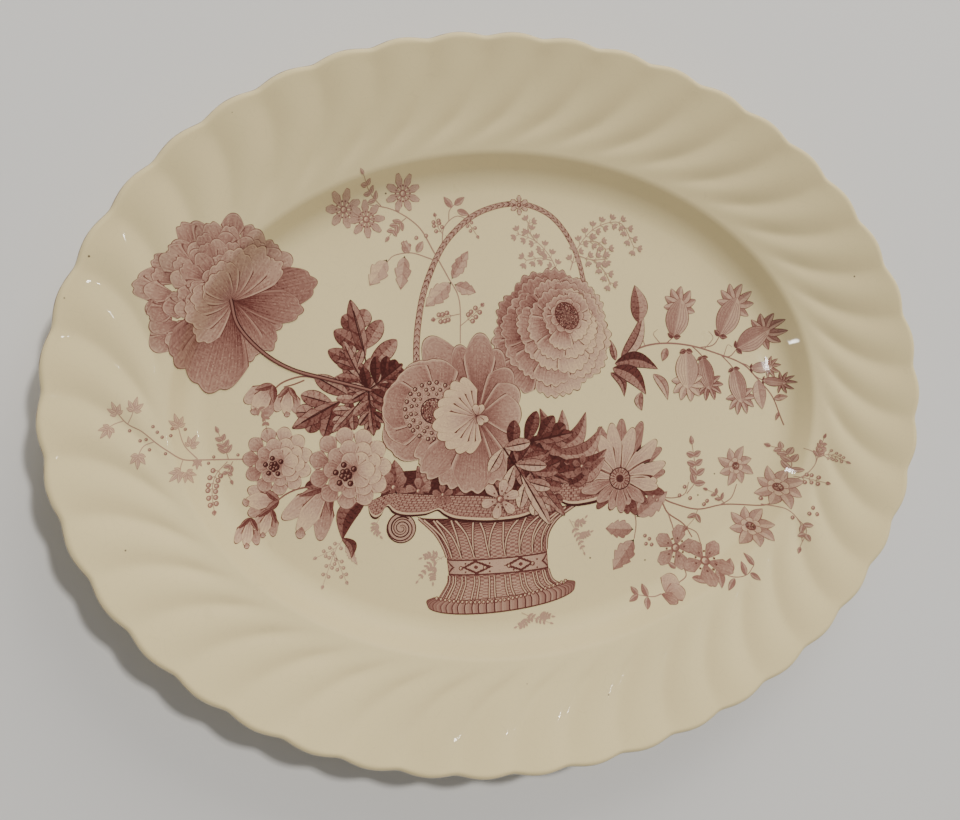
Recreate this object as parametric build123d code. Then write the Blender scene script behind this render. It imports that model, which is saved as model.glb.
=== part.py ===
"""Oval china serving platter: one fired earthenware body and the motifs of a transfer-printed flower basket.

Millimetres, +Z up. The origin is the middle of the platter's footprint, on the plane the foot ring rests on.
+X runs along the long axis. The basket stands upright when +Y points away from the viewer.
Every section station is (inward, height, normal angle): inward is the distance in from the outline ellipse,
height is Z, and the normal angle is measured in the section plane from outward-horizontal towards +Z.
"""

import math
import os

from build123d import *

# Outline and section
LENGTH = 356.0
WIDTH = 290.0
HEIGHT = 32.0
RIM_WIDTH = 43.0
RIM_SLOPE = 19.5
WALL_SLOPE = 50.0
FLOOR_HEIGHT = 7.5
FLOOR_INWARD = 57.3
SHOULDER_RADIUS = 5.0
FLOOR_FILLET = 12.0
LIP_RADIUS = 2.1
UNDER_RIM_END = 33.0
FOOT_OUTER = 61.5
FOOT_INNER = 66.0
FOOT_ROUND = 0.7
RECESS_HEIGHT = 2.8

# Swirled flutes
LOBES = 44
SPACING_CORRECTION = 0.0505
LOBE_PHASE = 0.43
SWIRL_LOBES = 1.75
SWIRL_POWER = 2.6
GROOVE_SOFTNESS = 0.25
FLUTE_AT_LIP = 0.9
FLUTE_ON_RIM = 1.35
SCALLOP_DEPTH = 1.3
SCALLOP_REACH = 9.0
UNDERSIDE_SHARE = 0.6
POINTS_PER_LOBE = 10
RIM_STATIONS = 22
RIM_CROWDING = 1.5
UNDERSIDE_STATIONS = 8

# Printed motifs: films of ink lying on the front
INK = 0.15
INK_CLEARANCE = 0.02
INK_REACH = 18.0
STEM = 1.2
SMALLEST_PATCH = 1.5


def arc_stations(centre, radius, start, end, count):
    """Stations round an arc; start and end are normal angles in degrees, centre is (inward, height)."""
    stations = []
    for i in range(count):
        angle = math.radians(start + (end - start) * i / (count - 1))
        inward = centre[0] - radius * math.cos(angle)
        stations.append((inward, centre[1] + radius * math.sin(angle), angle))
    return stations


def hollow_arc_stations(centre, radius, start, end, count):
    """Stations round a concave arc, whose normals point at its centre."""
    stations = []
    for i in range(count):
        angle = math.radians(start + (end - start) * i / (count - 1))
        inward = centre[0] + radius * math.cos(angle)
        stations.append((inward, centre[1] - radius * math.sin(angle), angle))
    return stations


def bezier_stations(start, start_pull, end_pull, end, count):
    """Stations along a cubic curve walked from the rim to the foot, with normals facing down and out."""
    stations = []
    for i in range(count):
        u = i / (count - 1)
        a, b, c, d = (1 - u) ** 3, 3 * u * (1 - u) ** 2, 3 * u * u * (1 - u), u ** 3
        inward = a * start[0] + b * start_pull[0] + c * end_pull[0] + d * end[0]
        height = a * start[1] + b * start_pull[1] + c * end_pull[1] + d * end[1]
        a, b, c = (1 - u) ** 2, 2 * u * (1 - u), u * u
        run = a * (start_pull[0] - start[0]) + b * (end_pull[0] - start_pull[0]) + c * (end[0] - end_pull[0])
        fall = a * (start_pull[1] - start[1]) + b * (end_pull[1] - start_pull[1]) + c * (end[1] - end_pull[1])
        stations.append((inward, height, math.atan2(-run, -fall)))
    return stations


def section():
    """The glazed outline in section, from the floor's edge over the lip and under to the foot's outer wall."""
    slope = math.radians(RIM_SLOPE)
    steep = math.radians(WALL_SLOPE)
    lip = (LIP_RADIUS, HEIGHT - LIP_RADIUS)
    lip_top = (lip[0] + LIP_RADIUS * math.sin(slope), lip[1] + LIP_RADIUS * math.cos(slope))
    shoulder_drop = SHOULDER_RADIUS * (math.cos(slope) - math.cos(steep))
    fillet_drop = FLOOR_FILLET * (1 - math.cos(steep))
    rim_foot = (RIM_WIDTH - 1.0, lip_top[1] - (RIM_WIDTH - 1.0 - lip_top[0]) * math.tan(slope))
    straight_drop = rim_foot[1] - FLOOR_HEIGHT - shoulder_drop - fillet_drop
    wall_top_inward = rim_foot[0] + SHOULDER_RADIUS * (math.sin(steep) - math.sin(slope))
    fillet_top_inward = wall_top_inward + straight_drop / math.tan(steep)
    floor_inward = fillet_top_inward + FLOOR_FILLET * math.sin(steep)

    fillet_centre = (floor_inward, FLOOR_HEIGHT + FLOOR_FILLET)
    # On the well side the normals lean inward, so their angles lie beyond 90 degrees.
    fillet = hollow_arc_stations(fillet_centre, FLOOR_FILLET, 90, 90 + WALL_SLOPE, 6)
    shoulder_centre = (
        rim_foot[0] - SHOULDER_RADIUS * math.sin(slope),
        rim_foot[1] - SHOULDER_RADIUS * math.cos(slope),
    )
    shoulder = arc_stations(shoulder_centre, SHOULDER_RADIUS, 90 + WALL_SLOPE, 90 + RIM_SLOPE, 5)
    rim = []
    for i in range(1, RIM_STATIONS):
        inward = rim_foot[0] + (lip_top[0] - rim_foot[0]) * (i / RIM_STATIONS) ** RIM_CROWDING
        height = rim_foot[1] + (rim_foot[0] - inward) * math.tan(slope)
        rim.append((inward, height, math.pi / 2 + slope))
    edge = arc_stations(lip, LIP_RADIUS, 90 + RIM_SLOPE, -90 + RIM_SLOPE, 9)
    under_start = edge[-1]
    under_end = (UNDER_RIM_END, under_start[1] - (UNDER_RIM_END - under_start[0]) * math.tan(slope))
    underside = []
    for i in range(1, UNDERSIDE_STATIONS):
        u = i / UNDERSIDE_STATIONS
        inward = under_start[0] + (under_end[0] - under_start[0]) * u
        height = under_start[1] + (under_end[1] - under_start[1]) * u
        underside.append((inward, height, -math.pi / 2 + slope))
    bowl_pull = (under_end[0] + 9.0, under_end[1] - 9.0 * math.tan(slope))
    bowl = bezier_stations(under_end, bowl_pull, (48.0, 5.2), (FOOT_OUTER - 1.5, 3.4), 9)
    foot = [
        (FOOT_OUTER - 0.6, 2.5, math.radians(-30)),
        (FOOT_OUTER - 0.2, 1.7, math.radians(-12)),
        (FOOT_OUTER, 0.8, 0.0),
        (FOOT_OUTER + 0.2, 0.2, 0.0),
        (FOOT_OUTER + FOOT_ROUND, 0.0, 0.0),
    ]
    return fillet + shoulder + rim + edge + underside + bowl + foot


def lobe(inward, turn):
    """1 on the crown of a flute and 0 in its groove, at a given distance in and angle round the platter."""
    along = turn - SPACING_CORRECTION * math.sin(2 * turn)
    swirl = SWIRL_LOBES * min(inward / RIM_WIDTH, 1.0) ** SWIRL_POWER
    wave = math.sin(math.pi * (LOBES * along / (2 * math.pi) + LOBE_PHASE - swirl))
    low = GROOVE_SOFTNESS
    return (math.sqrt(wave * wave + low * low) - low) / (math.sqrt(1 + low * low) - low)


def fade(value, start, end):
    """Smooth step from 1 at start to 0 at end."""
    u = min(max((value - start) / (end - start), 0.0), 1.0)
    return 1 - u * u * (3 - 2 * u)


def flute_height(inward, angle):
    """How far the crowns stand above the grooves at a station."""
    rise = FLUTE_AT_LIP + (FLUTE_ON_RIM - FLUTE_AT_LIP) * (1 - fade(inward, 4.0, 18.0))
    height = rise * fade(inward, 30.0, RIM_WIDTH - 1.0)
    return height if angle > 0 else height * UNDERSIDE_SHARE


def ring(station):
    """Closed wire round the platter at a station, waved by the flutes and the scalloped edge."""
    inward, height, angle = station
    flute = flute_height(inward, angle)
    scallop = SCALLOP_DEPTH * fade(inward, 0.0, SCALLOP_REACH)
    count = LOBES * POINTS_PER_LOBE
    points = []
    for i in range(count):
        turn = 2 * math.pi * i / count
        crown = lobe(inward, turn)
        reach = inward + scallop * (1 - crown)
        x = (LENGTH / 2 - reach) * math.cos(turn)
        y = (WIDTH / 2 - reach) * math.sin(turn)
        points.append((x, y, height + flute * (crown - 1)))
    parameters = [i / count for i in range(count + 1)]
    return Wire([Edge.make_spline(points, periodic=True, parameters=parameters)])


def oval(inward, height, amount):
    """Elliptical disc or hole tool, following the outline at a distance in, rising by amount."""
    face = Pos(0, 0, height) * Ellipse(LENGTH / 2 - inward, WIDTH / 2 - inward)
    return extrude(face, amount, dir=(0, 0, 1))


def make_body(stations):
    """The platter as fired, with the recess that its foot ring surrounds."""
    solid = Solid.make_loft([ring(station) for station in stations], ruled=True)
    return (solid - oval(FOOT_INNER, 0.0, RECESS_HEIGHT)).solids()[0]


def well_fill(stations, lift):
    """What would fill the well and the foot of the rim down to a distance above the front's crowns."""
    wires = []
    for inward, height, angle in stations:
        reach = inward - lift * math.cos(angle)
        level = height + lift * math.sin(angle)
        outline = Pos(0, 0, level) * Ellipse(LENGTH / 2 - reach, WIDTH / 2 - reach)
        wires.append(outline.faces()[0].outer_wire())
    return Solid.make_loft(wires, ruled=True)


def make_ink_shell(stations):
    """Even film over the well and the foot of the rim, from which the motifs off the flat are cut."""
    front = [station for station in stations if station[2] > math.pi / 2 - 0.01 and station[0] > INK_REACH]
    return well_fill(front, INK_CLEARANCE) - well_fill(front, INK_CLEARANCE + INK)


def blade(base, tip, width, belly=0.55, bend=0.0):
    """Petal or leaf outline; belly is where along it is widest, bend bows it sideways."""
    run, rise = tip[0] - base[0], tip[1] - base[1]

    def at(u, side):
        bow = bend * 4 * u * (1 - u) + side * width / 2
        return (base[0] + run * u - rise * bow / math.hypot(run, rise),
                base[1] + rise * u + run * bow / math.hypot(run, rise))

    left = Spline(base, at(belly * 0.5, 0.72), at(belly, 1.0), at((1 + belly) / 2, 0.8), tip)
    right = Spline(tip, at((1 + belly) / 2, -0.8), at(belly, -1.0), at(belly * 0.5, -0.72), base)
    return Face(Wire([left.edge(), right.edge()]))


def bloom(centre, radius, lobes, depth=0.18, squash=1.0, turn=0.0):
    """Flower outline: a round with its rim drawn into petals, squashed along Y."""
    points = []
    count = lobes * 6
    for i in range(count):
        angle = 2 * math.pi * i / count
        reach = radius * (1 - depth + depth * abs(math.cos(lobes * angle / 2)) ** 0.7)
        points.append((centre[0] + reach * math.cos(angle + turn),
                       centre[1] + squash * reach * math.sin(angle + turn)))
    return Face(Wire([Edge.make_spline(points, periodic=True)]))


def stem(*points, width=STEM):
    """Strip of even width along a smooth line through points."""
    path = Spline(*points)
    left, right = [], []
    for i in range(13):
        spot, along = path @ (i / 12), path % (i / 12)
        left.append((spot.X - along.Y * width / 2, spot.Y + along.X * width / 2))
        right.append((spot.X + along.Y * width / 2, spot.Y - along.X * width / 2))
    right.reverse()
    sides = [Spline(*left), Line(left[-1], right[0]), Spline(*right), Line(right[-1], left[0])]
    return Face(Wire([side.edge() for side in sides]))


def leafy(points, length, width, count, width_stem=STEM):
    """Stem with paired leaves set along its outer part."""
    path = Spline(*points)
    shapes = [stem(*points, width=width_stem)]
    for i in range(count):
        spot, along = path @ (0.3 + 0.6 * i / count), path % (0.3 + 0.6 * i / count)
        for side in (-1, 1):
            reach_x = along.X * 0.7 - side * along.Y
            reach_y = along.Y * 0.7 + side * along.X
            tip = (spot.X + length * reach_x, spot.Y + length * reach_y)
            shapes.append(blade((spot.X, spot.Y), tip, width))
    return shapes


def lobed(base, tip, width, lobes=3):
    """Lobed leaf: a main blade with side blades springing from its midrib."""
    run, rise = tip[0] - base[0], tip[1] - base[1]
    shapes = [blade(base, tip, width * 0.6)]
    for i in range(lobes):
        u = 0.12 + 0.5 * i / lobes
        root = (base[0] + run * u, base[1] + rise * u)
        reach = width / math.hypot(run, rise) * (0.75 - 0.3 * i / lobes)
        for side in (-1, 1):
            end = (root[0] + 0.38 * run - side * rise * reach, root[1] + 0.38 * rise + side * run * reach)
            shapes.append(blade(root, end, width * 0.36))
    return shapes


def basket():
    """Flared wicker bowl on a spreading foot, with a deep rolled rim and a scroll under its left end."""
    right = [(42, -35), (38, -40), (27, -44), (18, -49), (15, -57), (15.5, -64), (18, -70), (28, -75), (25, -81)]
    left = [(-34, -84), (-38, -79), (-30, -75), (-28, -67), (-28.5, -60), (-31.5, -52), (-38, -46), (-54, -42),
            (-60, -36)]
    top = Spline((-60, -36), (-34, -36), (-8, -37), (20, -34), (42, -35))
    foot = Spline((25, -81), (8, -86), (-7, -87.5), (-21, -86.5), (-34, -84))
    sides = [top, Spline(*right), foot, Spline(*left)]
    scroll = bloom((-47, -48), 5.5, 3, depth=0.05)
    return [Face(Wire([side.edge() for side in sides])), scroll]


def print_outlines():
    """Flat outlines of the printed motifs by node name, nearest layer first."""
    return {
        "print_poppy_centre": [
            bloom((-35, -3), 19, 5, depth=0.14, turn=0.5),
            blade((-30, -2), (-22, 29), 21, belly=0.65),
            blade((-22, -4), (1, 14), 22, belly=0.65),
            bloom((-15, -6), 15, 4, depth=0.12, squash=1.25),
        ],
        "print_ranunculus": [
            bloom((23, 34), 26, 11, depth=0.1, squash=0.95),
            blade((15, 30), (-7, 46), 24, belly=0.6),
        ],
        "print_daisy_right": [
            blade(
                (46, -32),
                (46 + 22 * math.cos(math.radians(spoke)), -31 + 21 * math.sin(math.radians(spoke))),
                8.5,
                belly=0.6,
            )
            for spoke in range(10, 370, 30)
        ] + [bloom((46, -32), 6, 5)],
        "print_double_roses_left": [
            bloom((-95, -18), 13, 9, depth=0.14),
            bloom((-66, -23), 16, 10, depth=0.14, squash=0.95),
        ],
        "print_peony_left": [
            bloom((-120, 50), 25, 11, depth=0.14, squash=0.9),
            blade((-108, 44), (-80, 48), 26, belly=0.6),
            blade((-106, 40), (-98, 14), 24, belly=0.65),
            blade((-112, 42), (-116, 6), 25, belly=0.65),
            blade((-125, 40), (-148, 38), 10),
            blade((-122, 50), (-146, 58), 11),
            stem((-104, 28), (-98, 15), (-84, 8), (-64, 8), width=1.8),
        ],
        "print_leaves_centre": [
            *lobed((14, -18), (8, -36), 16),
            *lobed((24, -10), (40, -16), 18),
            *lobed((0, -26), (8, -12), 14),
            bloom((-6, -37), 7, 5, depth=0.3),
            blade((-46, -34), (-28, -32), 10),
        ],
        "print_basket": basket(),
        "print_basket_handle": [
            stem(
                (-39, 20), (-38, 40), (-30, 62), (-14, 78), (6, 83), (22, 76), (32, 60), (35, 46), width=2.8
            ),
            bloom((6, 83), 4.0, 5, depth=0.3),
        ],
        "print_leaves_left": [
            *lobed((-58, 10), (-66, 43), 26, lobes=4),
            *lobed((-60, 8), (-92, -2), 24, lobes=4),
            *lobed((-58, 2), (-58, -16), 16),
            blade((-60, 10), (-46, 16), 9),
        ],
        "print_rosebuds_left": [
            blade((-90, 3), (-104, -1), 9),
            blade((-92, 4), (-100, 12), 8),
            stem((-92, 5), (-84, 9), (-74, 6)),
            stem((-97, -32), (-88, -33), (-78, -32)),
            blade((-92, -33), (-108, -33), 11),
            blade((-80, -30), (-92, -44), 11),
            blade((-76, -33), (-78, -48), 9),
            blade((-98, -38), (-111, -49), 10),
            blade((-64, -39), (-68, -55), 9, bend=3),
            stem((-108, -44), (-94, -37), (-80, -33)),
        ],
        "print_bellflowers_right": [
            stem((50, 20), (70, 21), (96, 14), (112, 4), (126, -12), width=1.4),
            stem((78, 20), (77, 28), (75, 36)),
            stem((88, 17), (98, 26), (103, 38)),
            stem((100, 12), (112, 22), (120, 27)),
            stem((104, 10), (103, 2), (101, -4)),
            blade((76, 46), (74, 26), 13, belly=0.5),
            blade((106, 46), (98, 28), 13, belly=0.5),
            blade((125, 31), (109, 22), 12, belly=0.5),
            blade((82, 16), (84, -4), 15, belly=0.7),
            blade((103, 8), (103, -8), 11, belly=0.7),
            blade((116, 8), (124, 0), 7),
        ],
        "print_lance_leaves_right": [
            blade((43, 14), (57, 48), 9, bend=-2),
            blade((44, 14), (66, 4), 10, bend=3),
            blade((42, 12), (60, -6), 8, bend=3),
            blade((40, 12), (44, -2), 6),
        ],
        "print_star_blossoms_right": [
            stem((62, -36), (84, -42), (106, -42), (122, -40), width=1.3),
            stem((84, -42), (94, -34), (101, -30)),
            stem((112, -41), (128, -36), (150, -28)),
            stem((96, -43), (104, -50)),
            bloom((102, -29), 8, 6, depth=0.35),
            bloom((122, -40), 8.5, 6, depth=0.35),
            bloom((107, -55), 8, 6, depth=0.35),
            *leafy([(90, -38), (84, -26), (86, -18)], 5, 3, 3, width_stem=1.0),
            *leafy([(118, -38), (134, -28), (144, -20)], 5, 3, 3, width_stem=1.0),
        ],
        "print_blossoms_lower_right": [
            bloom((73, -63), 9, 5, depth=0.22),
            bloom((86, -69), 8.5, 5, depth=0.22),
            blade((62, -48), (56, -66), 11),
            blade((54, -40), (66, -52), 10),
            stem((56, -38), (64, -52), (72, -60)),
            stem((86, -70), (100, -74), (108, -73)),
            stem((86, -70), (76, -80), (60, -85)),
            bloom((71, -82), 6, 5, depth=0.2),
        ],
        "print_sprig_top_left": [
            bloom((-52, 81), 7.5, 6, depth=0.35),
            bloom((-41, 88), 6.5, 6, depth=0.35),
            bloom((-70, 78), 6, 5, depth=0.3),
            stem((-66, 78), (-48, 76), (-34, 64), (-26, 52)),
            blade((-40, 66), (-52, 50), 8),
            blade((-40, 66), (-38, 50), 7),
        ],
        "print_sprigs_handle": [
            *leafy([(-30, 50), (-24, 66), (-16, 84)], 6, 3.5, 4, width_stem=1.0),
            *leafy([(-26, 44), (-20, 30), (-16, 24)], 5, 3.0, 3, width_stem=1.0),
            *leafy([(-22, 56), (-14, 48), (-16, 40)], 4, 2.6, 2, width_stem=1.0),
        ],
        "print_fern_top_right": [
            *leafy([(30, 62), (16, 72), (2, 76)], 7, 3.0, 5, width_stem=1.0),
            *leafy([(34, 58), (44, 72), (60, 76)], 7, 3.0, 5, width_stem=1.0),
            *leafy([(36, 56), (42, 52), (46, 46)], 4, 2.6, 2, width_stem=1.0),
        ],
        "print_vine_left": [
            stem((-107, -18), (-124, -17), (-140, -8), (-156, 2), width=1.0),
            *leafy([(-124, -17), (-134, -10), (-138, 2)], 5, 4.0, 2, width_stem=1.0),
            *leafy([(-120, -17), (-124, -26), (-122, -36)], 4, 2.6, 3, width_stem=1.0),
            blade((-148, -4), (-158, -8), 5),
            blade((-152, 0), (-160, 6), 5),
        ],
        "print_sprigs_lower": [
            *leafy([(-70, -52), (-76, -60), (-78, -68)], 5, 3.0, 3, width_stem=1.0),
            *leafy([(-30, -56), (-36, -63), (-40, -67)], 5, 3.0, 2, width_stem=1.0),
            *leafy([(24, -50), (29, -56), (30, -62)], 5, 3.0, 2, width_stem=1.0),
            *leafy([(20, -82), (14, -86), (4, -87)], 4, 2.6, 2, width_stem=1.0),
        ],
    }


def merge(shapes):
    """One sketch from overlapping outlines."""
    first, *rest = shapes
    return Sketch() + first.fuse(*rest) if rest else Sketch() + first


def on_flat(sketch):
    """True when an outline lies wholly on the flat of the well."""
    long, short = LENGTH / 2 - FLOOR_INWARD, WIDTH / 2 - FLOOR_INWARD
    spots = [edge @ u for edge in sketch.edges() for u in (0.0, 0.25, 0.5, 0.75)]
    return all((spot.X / long) ** 2 + (spot.Y / short) ** 2 < 0.995 for spot in spots)


def ink_film(sketch, shell):
    """The film of ink under an outline, lying on the flat or following the wall and the rim."""
    if on_flat(sketch):
        return extrude(Pos(0, 0, FLOOR_HEIGHT) * sketch, INK, dir=(0, 0, 1)).solids()
    column = extrude(sketch, HEIGHT, dir=(0, 0, 1))
    return [solid for solid in (column & shell).solids() if solid.volume > SMALLEST_PATCH * INK / 2]


def make_prints(shell):
    """Ink films by node name; where motifs cross, the nearer one is printed and the other stops at it."""
    printed = Sketch()
    inks = {}
    for name, shapes in print_outlines().items():
        whole = merge(shapes)
        clear = whole - printed if printed.faces() else whole
        patches = [face for face in clear.faces() if face.area > SMALLEST_PATCH]
        inks[name] = ink_film(Sketch() + patches, shell)
        printed = printed + whole
    return inks


if __name__ == "__main__":
    os.makedirs("parts", exist_ok=True)
    outline = section()
    export_step(make_body(outline), "parts/platter_body.step")
    for node, films in make_prints(make_ink_shell(outline)).items():
        export_step(Compound(films), f"parts/{node}.step")
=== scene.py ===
"""Oval serving platter with a swirled rim and a rose-ink flower basket printed in its well.

Blender works in metres. The platter's formulas and the print's places are in millimetres, as in its CAD
model, and MM turns them into metres where a mesh is made.
"""

import math

import bpy
import numpy as np
from mathutils import Matrix, Vector


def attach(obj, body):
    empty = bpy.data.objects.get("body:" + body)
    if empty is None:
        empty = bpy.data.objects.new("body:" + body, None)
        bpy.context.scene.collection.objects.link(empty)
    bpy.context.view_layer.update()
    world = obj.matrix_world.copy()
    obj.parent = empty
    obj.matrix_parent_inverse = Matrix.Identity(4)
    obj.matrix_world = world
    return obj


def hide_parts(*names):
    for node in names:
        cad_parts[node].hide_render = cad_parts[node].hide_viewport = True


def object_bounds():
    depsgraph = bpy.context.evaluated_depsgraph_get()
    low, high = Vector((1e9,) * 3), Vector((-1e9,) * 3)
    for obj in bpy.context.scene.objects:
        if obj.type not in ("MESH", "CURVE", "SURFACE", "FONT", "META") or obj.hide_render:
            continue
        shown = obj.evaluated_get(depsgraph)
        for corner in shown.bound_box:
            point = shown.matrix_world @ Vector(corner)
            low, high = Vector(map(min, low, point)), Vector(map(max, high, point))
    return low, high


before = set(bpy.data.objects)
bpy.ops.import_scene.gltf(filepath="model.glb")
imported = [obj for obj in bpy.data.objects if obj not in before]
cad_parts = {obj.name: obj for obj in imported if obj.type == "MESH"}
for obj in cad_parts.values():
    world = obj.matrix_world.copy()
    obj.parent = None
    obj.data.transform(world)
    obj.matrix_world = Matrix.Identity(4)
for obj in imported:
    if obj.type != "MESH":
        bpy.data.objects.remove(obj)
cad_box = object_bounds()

MM = 0.001

# Meshes
FOOT_POINTS = 352
UV_MARGIN = 0.01

# The platter's section, as the CAD model has it
HALF_LENGTH = 178.0
HALF_WIDTH = 145.0
HEIGHT = 32.0
SHOULDER_INWARD = 43.0
RIM_SLOPE = math.radians(19.5)
WALL_SLOPE = math.radians(50.0)
FLOOR_HEIGHT = 7.5
FLOOR_INWARD = 57.31
SHOULDER_RADIUS = 5.0
FLOOR_FILLET = 12.0
LIP_RADIUS = 2.1
FOOT_OUTER = 61.5
FOOT_INNER = 66.0
RECESS_HEIGHT = 2.8
LOBES = 44
SPACING_CORRECTION = 0.0505
LOBE_PHASE = 0.43
SWIRL_LOBES = 1.75
SWIRL_POWER = 2.6
GROOVE_SOFTNESS = 0.25
FLUTE_AT_LIP = 0.9
FLUTE_ON_RIM = 1.35
SCALLOP_DEPTH = 1.3
SCALLOP_REACH = 9.0
UNDERSIDE_SHARE = 0.6
UNDER_RIM_END = 33.0
LIP_PARTING = math.radians(-3.0)

# The print: tones, how far the lowest ink stands off the glaze, the spacing of layers on the flat and on the wall
# and of sheets in a layer, and the width of a contour
TONES = 14
INK_BASE = 0.03
FLAT_STEP = 0.006
WALL_STEP = 0.014
SHEET_STEP = 0.001
CONTOUR = 0.3
rng = np.random.default_rng(7)


# ---------------------------------------------------------------- the platter's surface

def fade(value, start, end):
    """Smooth step from 1 at start to 0 at end."""
    u = np.clip((value - start) / (end - start), 0.0, 1.0)
    return 1 - u * u * (3 - 2 * u)


def lobe(inward, turn):
    """1 on the crown of a flute and 0 in its groove."""
    along = turn - SPACING_CORRECTION * np.sin(2 * turn)
    swirl = SWIRL_LOBES * np.clip(inward / SHOULDER_INWARD, 0.0, 1.0) ** SWIRL_POWER
    wave = np.sin(np.pi * (LOBES * along / (2 * np.pi) + LOBE_PHASE - swirl))
    low = GROOVE_SOFTNESS
    return (np.sqrt(wave * wave + low * low) - low) / (math.sqrt(1 + low * low) - low)


def flute_height(inward):
    """How far the crowns stand above the grooves."""
    rise = FLUTE_AT_LIP + (FLUTE_ON_RIM - FLUTE_AT_LIP) * (1 - fade(inward, 4.0, 18.0))
    return rise * fade(inward, 30.0, SHOULDER_INWARD - 1.0)


def scallop_depth(inward):
    """How far the grooves of the edge lie in from its crowns."""
    return SCALLOP_DEPTH * float(fade(inward, 0, SCALLOP_REACH))


LIP_CENTRE = (LIP_RADIUS, HEIGHT - LIP_RADIUS)
LIP_TOP = (
    LIP_CENTRE[0] + LIP_RADIUS * math.sin(RIM_SLOPE),
    LIP_CENTRE[1] + LIP_RADIUS * math.cos(RIM_SLOPE),
)
RIM_FOOT = (
    SHOULDER_INWARD - 1.0,
    LIP_TOP[1] - (SHOULDER_INWARD - 1.0 - LIP_TOP[0]) * math.tan(RIM_SLOPE),
)
WALL_TOP = (
    RIM_FOOT[0] + SHOULDER_RADIUS * (math.sin(WALL_SLOPE) - math.sin(RIM_SLOPE)),
    RIM_FOOT[1] - SHOULDER_RADIUS * (math.cos(RIM_SLOPE) - math.cos(WALL_SLOPE)),
)


def section_height(inward):
    """Height of the crowns on the front, from the lip to the flat of the well."""
    fillet_top = FLOOR_INWARD - FLOOR_FILLET * math.sin(WALL_SLOPE)
    fillet = FLOOR_HEIGHT + FLOOR_FILLET - np.sqrt(
        np.maximum(FLOOR_FILLET ** 2 - (FLOOR_INWARD - inward) ** 2, 0.0)
    )
    wall = WALL_TOP[1] - (inward - WALL_TOP[0]) * math.tan(WALL_SLOPE)
    centre = (
        RIM_FOOT[0] - SHOULDER_RADIUS * math.sin(RIM_SLOPE),
        RIM_FOOT[1] - SHOULDER_RADIUS * math.cos(RIM_SLOPE),
    )
    shoulder = centre[1] + np.sqrt(np.maximum(SHOULDER_RADIUS ** 2 - (inward - centre[0]) ** 2, 0.0))
    rim = RIM_FOOT[1] + (RIM_FOOT[0] - inward) * math.tan(RIM_SLOPE)
    height = np.where(inward > FLOOR_INWARD, FLOOR_HEIGHT, fillet)
    height = np.where(inward < fillet_top, wall, height)
    height = np.where(inward < WALL_TOP[0], shoulder, height)
    return np.where(inward < RIM_FOOT[0], rim, height)


def inward_at(x, y):
    """Distance in from the outline ellipse to points of the plan, by Newton's steps."""
    inward = np.full(np.shape(x), 30.0)
    for _ in range(25):
        long, short = HALF_LENGTH - inward, HALF_WIDTH - inward
        error = (x / long) ** 2 + (y / short) ** 2 - 1
        slope = 2 * x * x / long ** 3 + 2 * y * y / short ** 3
        inward = np.clip(inward - error / np.maximum(slope, 1e-6), 0.0, HALF_WIDTH - 5.0)
    return inward


def front_height(x, y):
    """Height of the front surface over points of the plan, flutes included."""
    inward = inward_at(x, y)
    turn = np.arctan2(y / (HALF_WIDTH - inward), x / (HALF_LENGTH - inward))
    return section_height(inward) + flute_height(inward) * (lobe(inward, turn) - 1)


# ---------------------------------------------------------------- materials

def srgb(red, green, blue):
    """Linear colour from 0..255 display values."""
    channels = []
    for value in (red, green, blue):
        value /= 255
        channels.append(value / 12.92 if value <= 0.04045 else ((value + 0.055) / 1.055) ** 2.4)
    return tuple(channels)


CREAM = srgb(234, 215, 163)
INK_RAMP = (
    (0.0, srgb(222, 192, 150)),
    (0.25, srgb(192, 157, 133)),
    (0.5, srgb(151, 108, 94)),
    (0.75, srgb(102, 50, 43)),
    (1.0, srgb(56, 9, 5)),
)


def ink_colour(tone):
    """Ink colour between cream at 0 and the darkest rose at 1."""
    for (low, start), (high, end) in zip(INK_RAMP, INK_RAMP[1:]):
        if tone <= high:
            share = (tone - low) / (high - low)
            return tuple(a + (b - a) * share for a, b in zip(start, end))
    return INK_RAMP[-1][1]


def new_material(name):
    """Node material with its Principled shader, and a helper that adds nodes."""
    material = bpy.data.materials.new(name)
    material.use_nodes = True
    tree = material.node_tree
    shader = tree.nodes["Principled BSDF"]

    def add(kind, **values):
        node = tree.nodes.new(kind)
        for key, value in values.items():
            if key in node.inputs:
                node.inputs[key].default_value = value
            else:
                setattr(node, key, value)
        return node

    return material, tree, shader, add


def clouded(tree, add, place, noise, dark, light, low=0.0, high=1.0):
    """Noise as a colour between a dark and a light one; gives back the sockets of colour and noise."""
    cloud = add("ShaderNodeTexNoise", **noise)
    ramp = add("ShaderNodeValToRGB")
    for element, position, colour in zip(ramp.color_ramp.elements, (low, high), (dark, light)):
        element.position = position
        element.color = (*colour, 1)
    tree.links.new(place.outputs["Object"], cloud.inputs["Vector"])
    tree.links.new(cloud.outputs["Fac"], ramp.inputs["Fac"])
    return ramp.outputs["Color"], cloud.outputs["Fac"]


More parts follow.
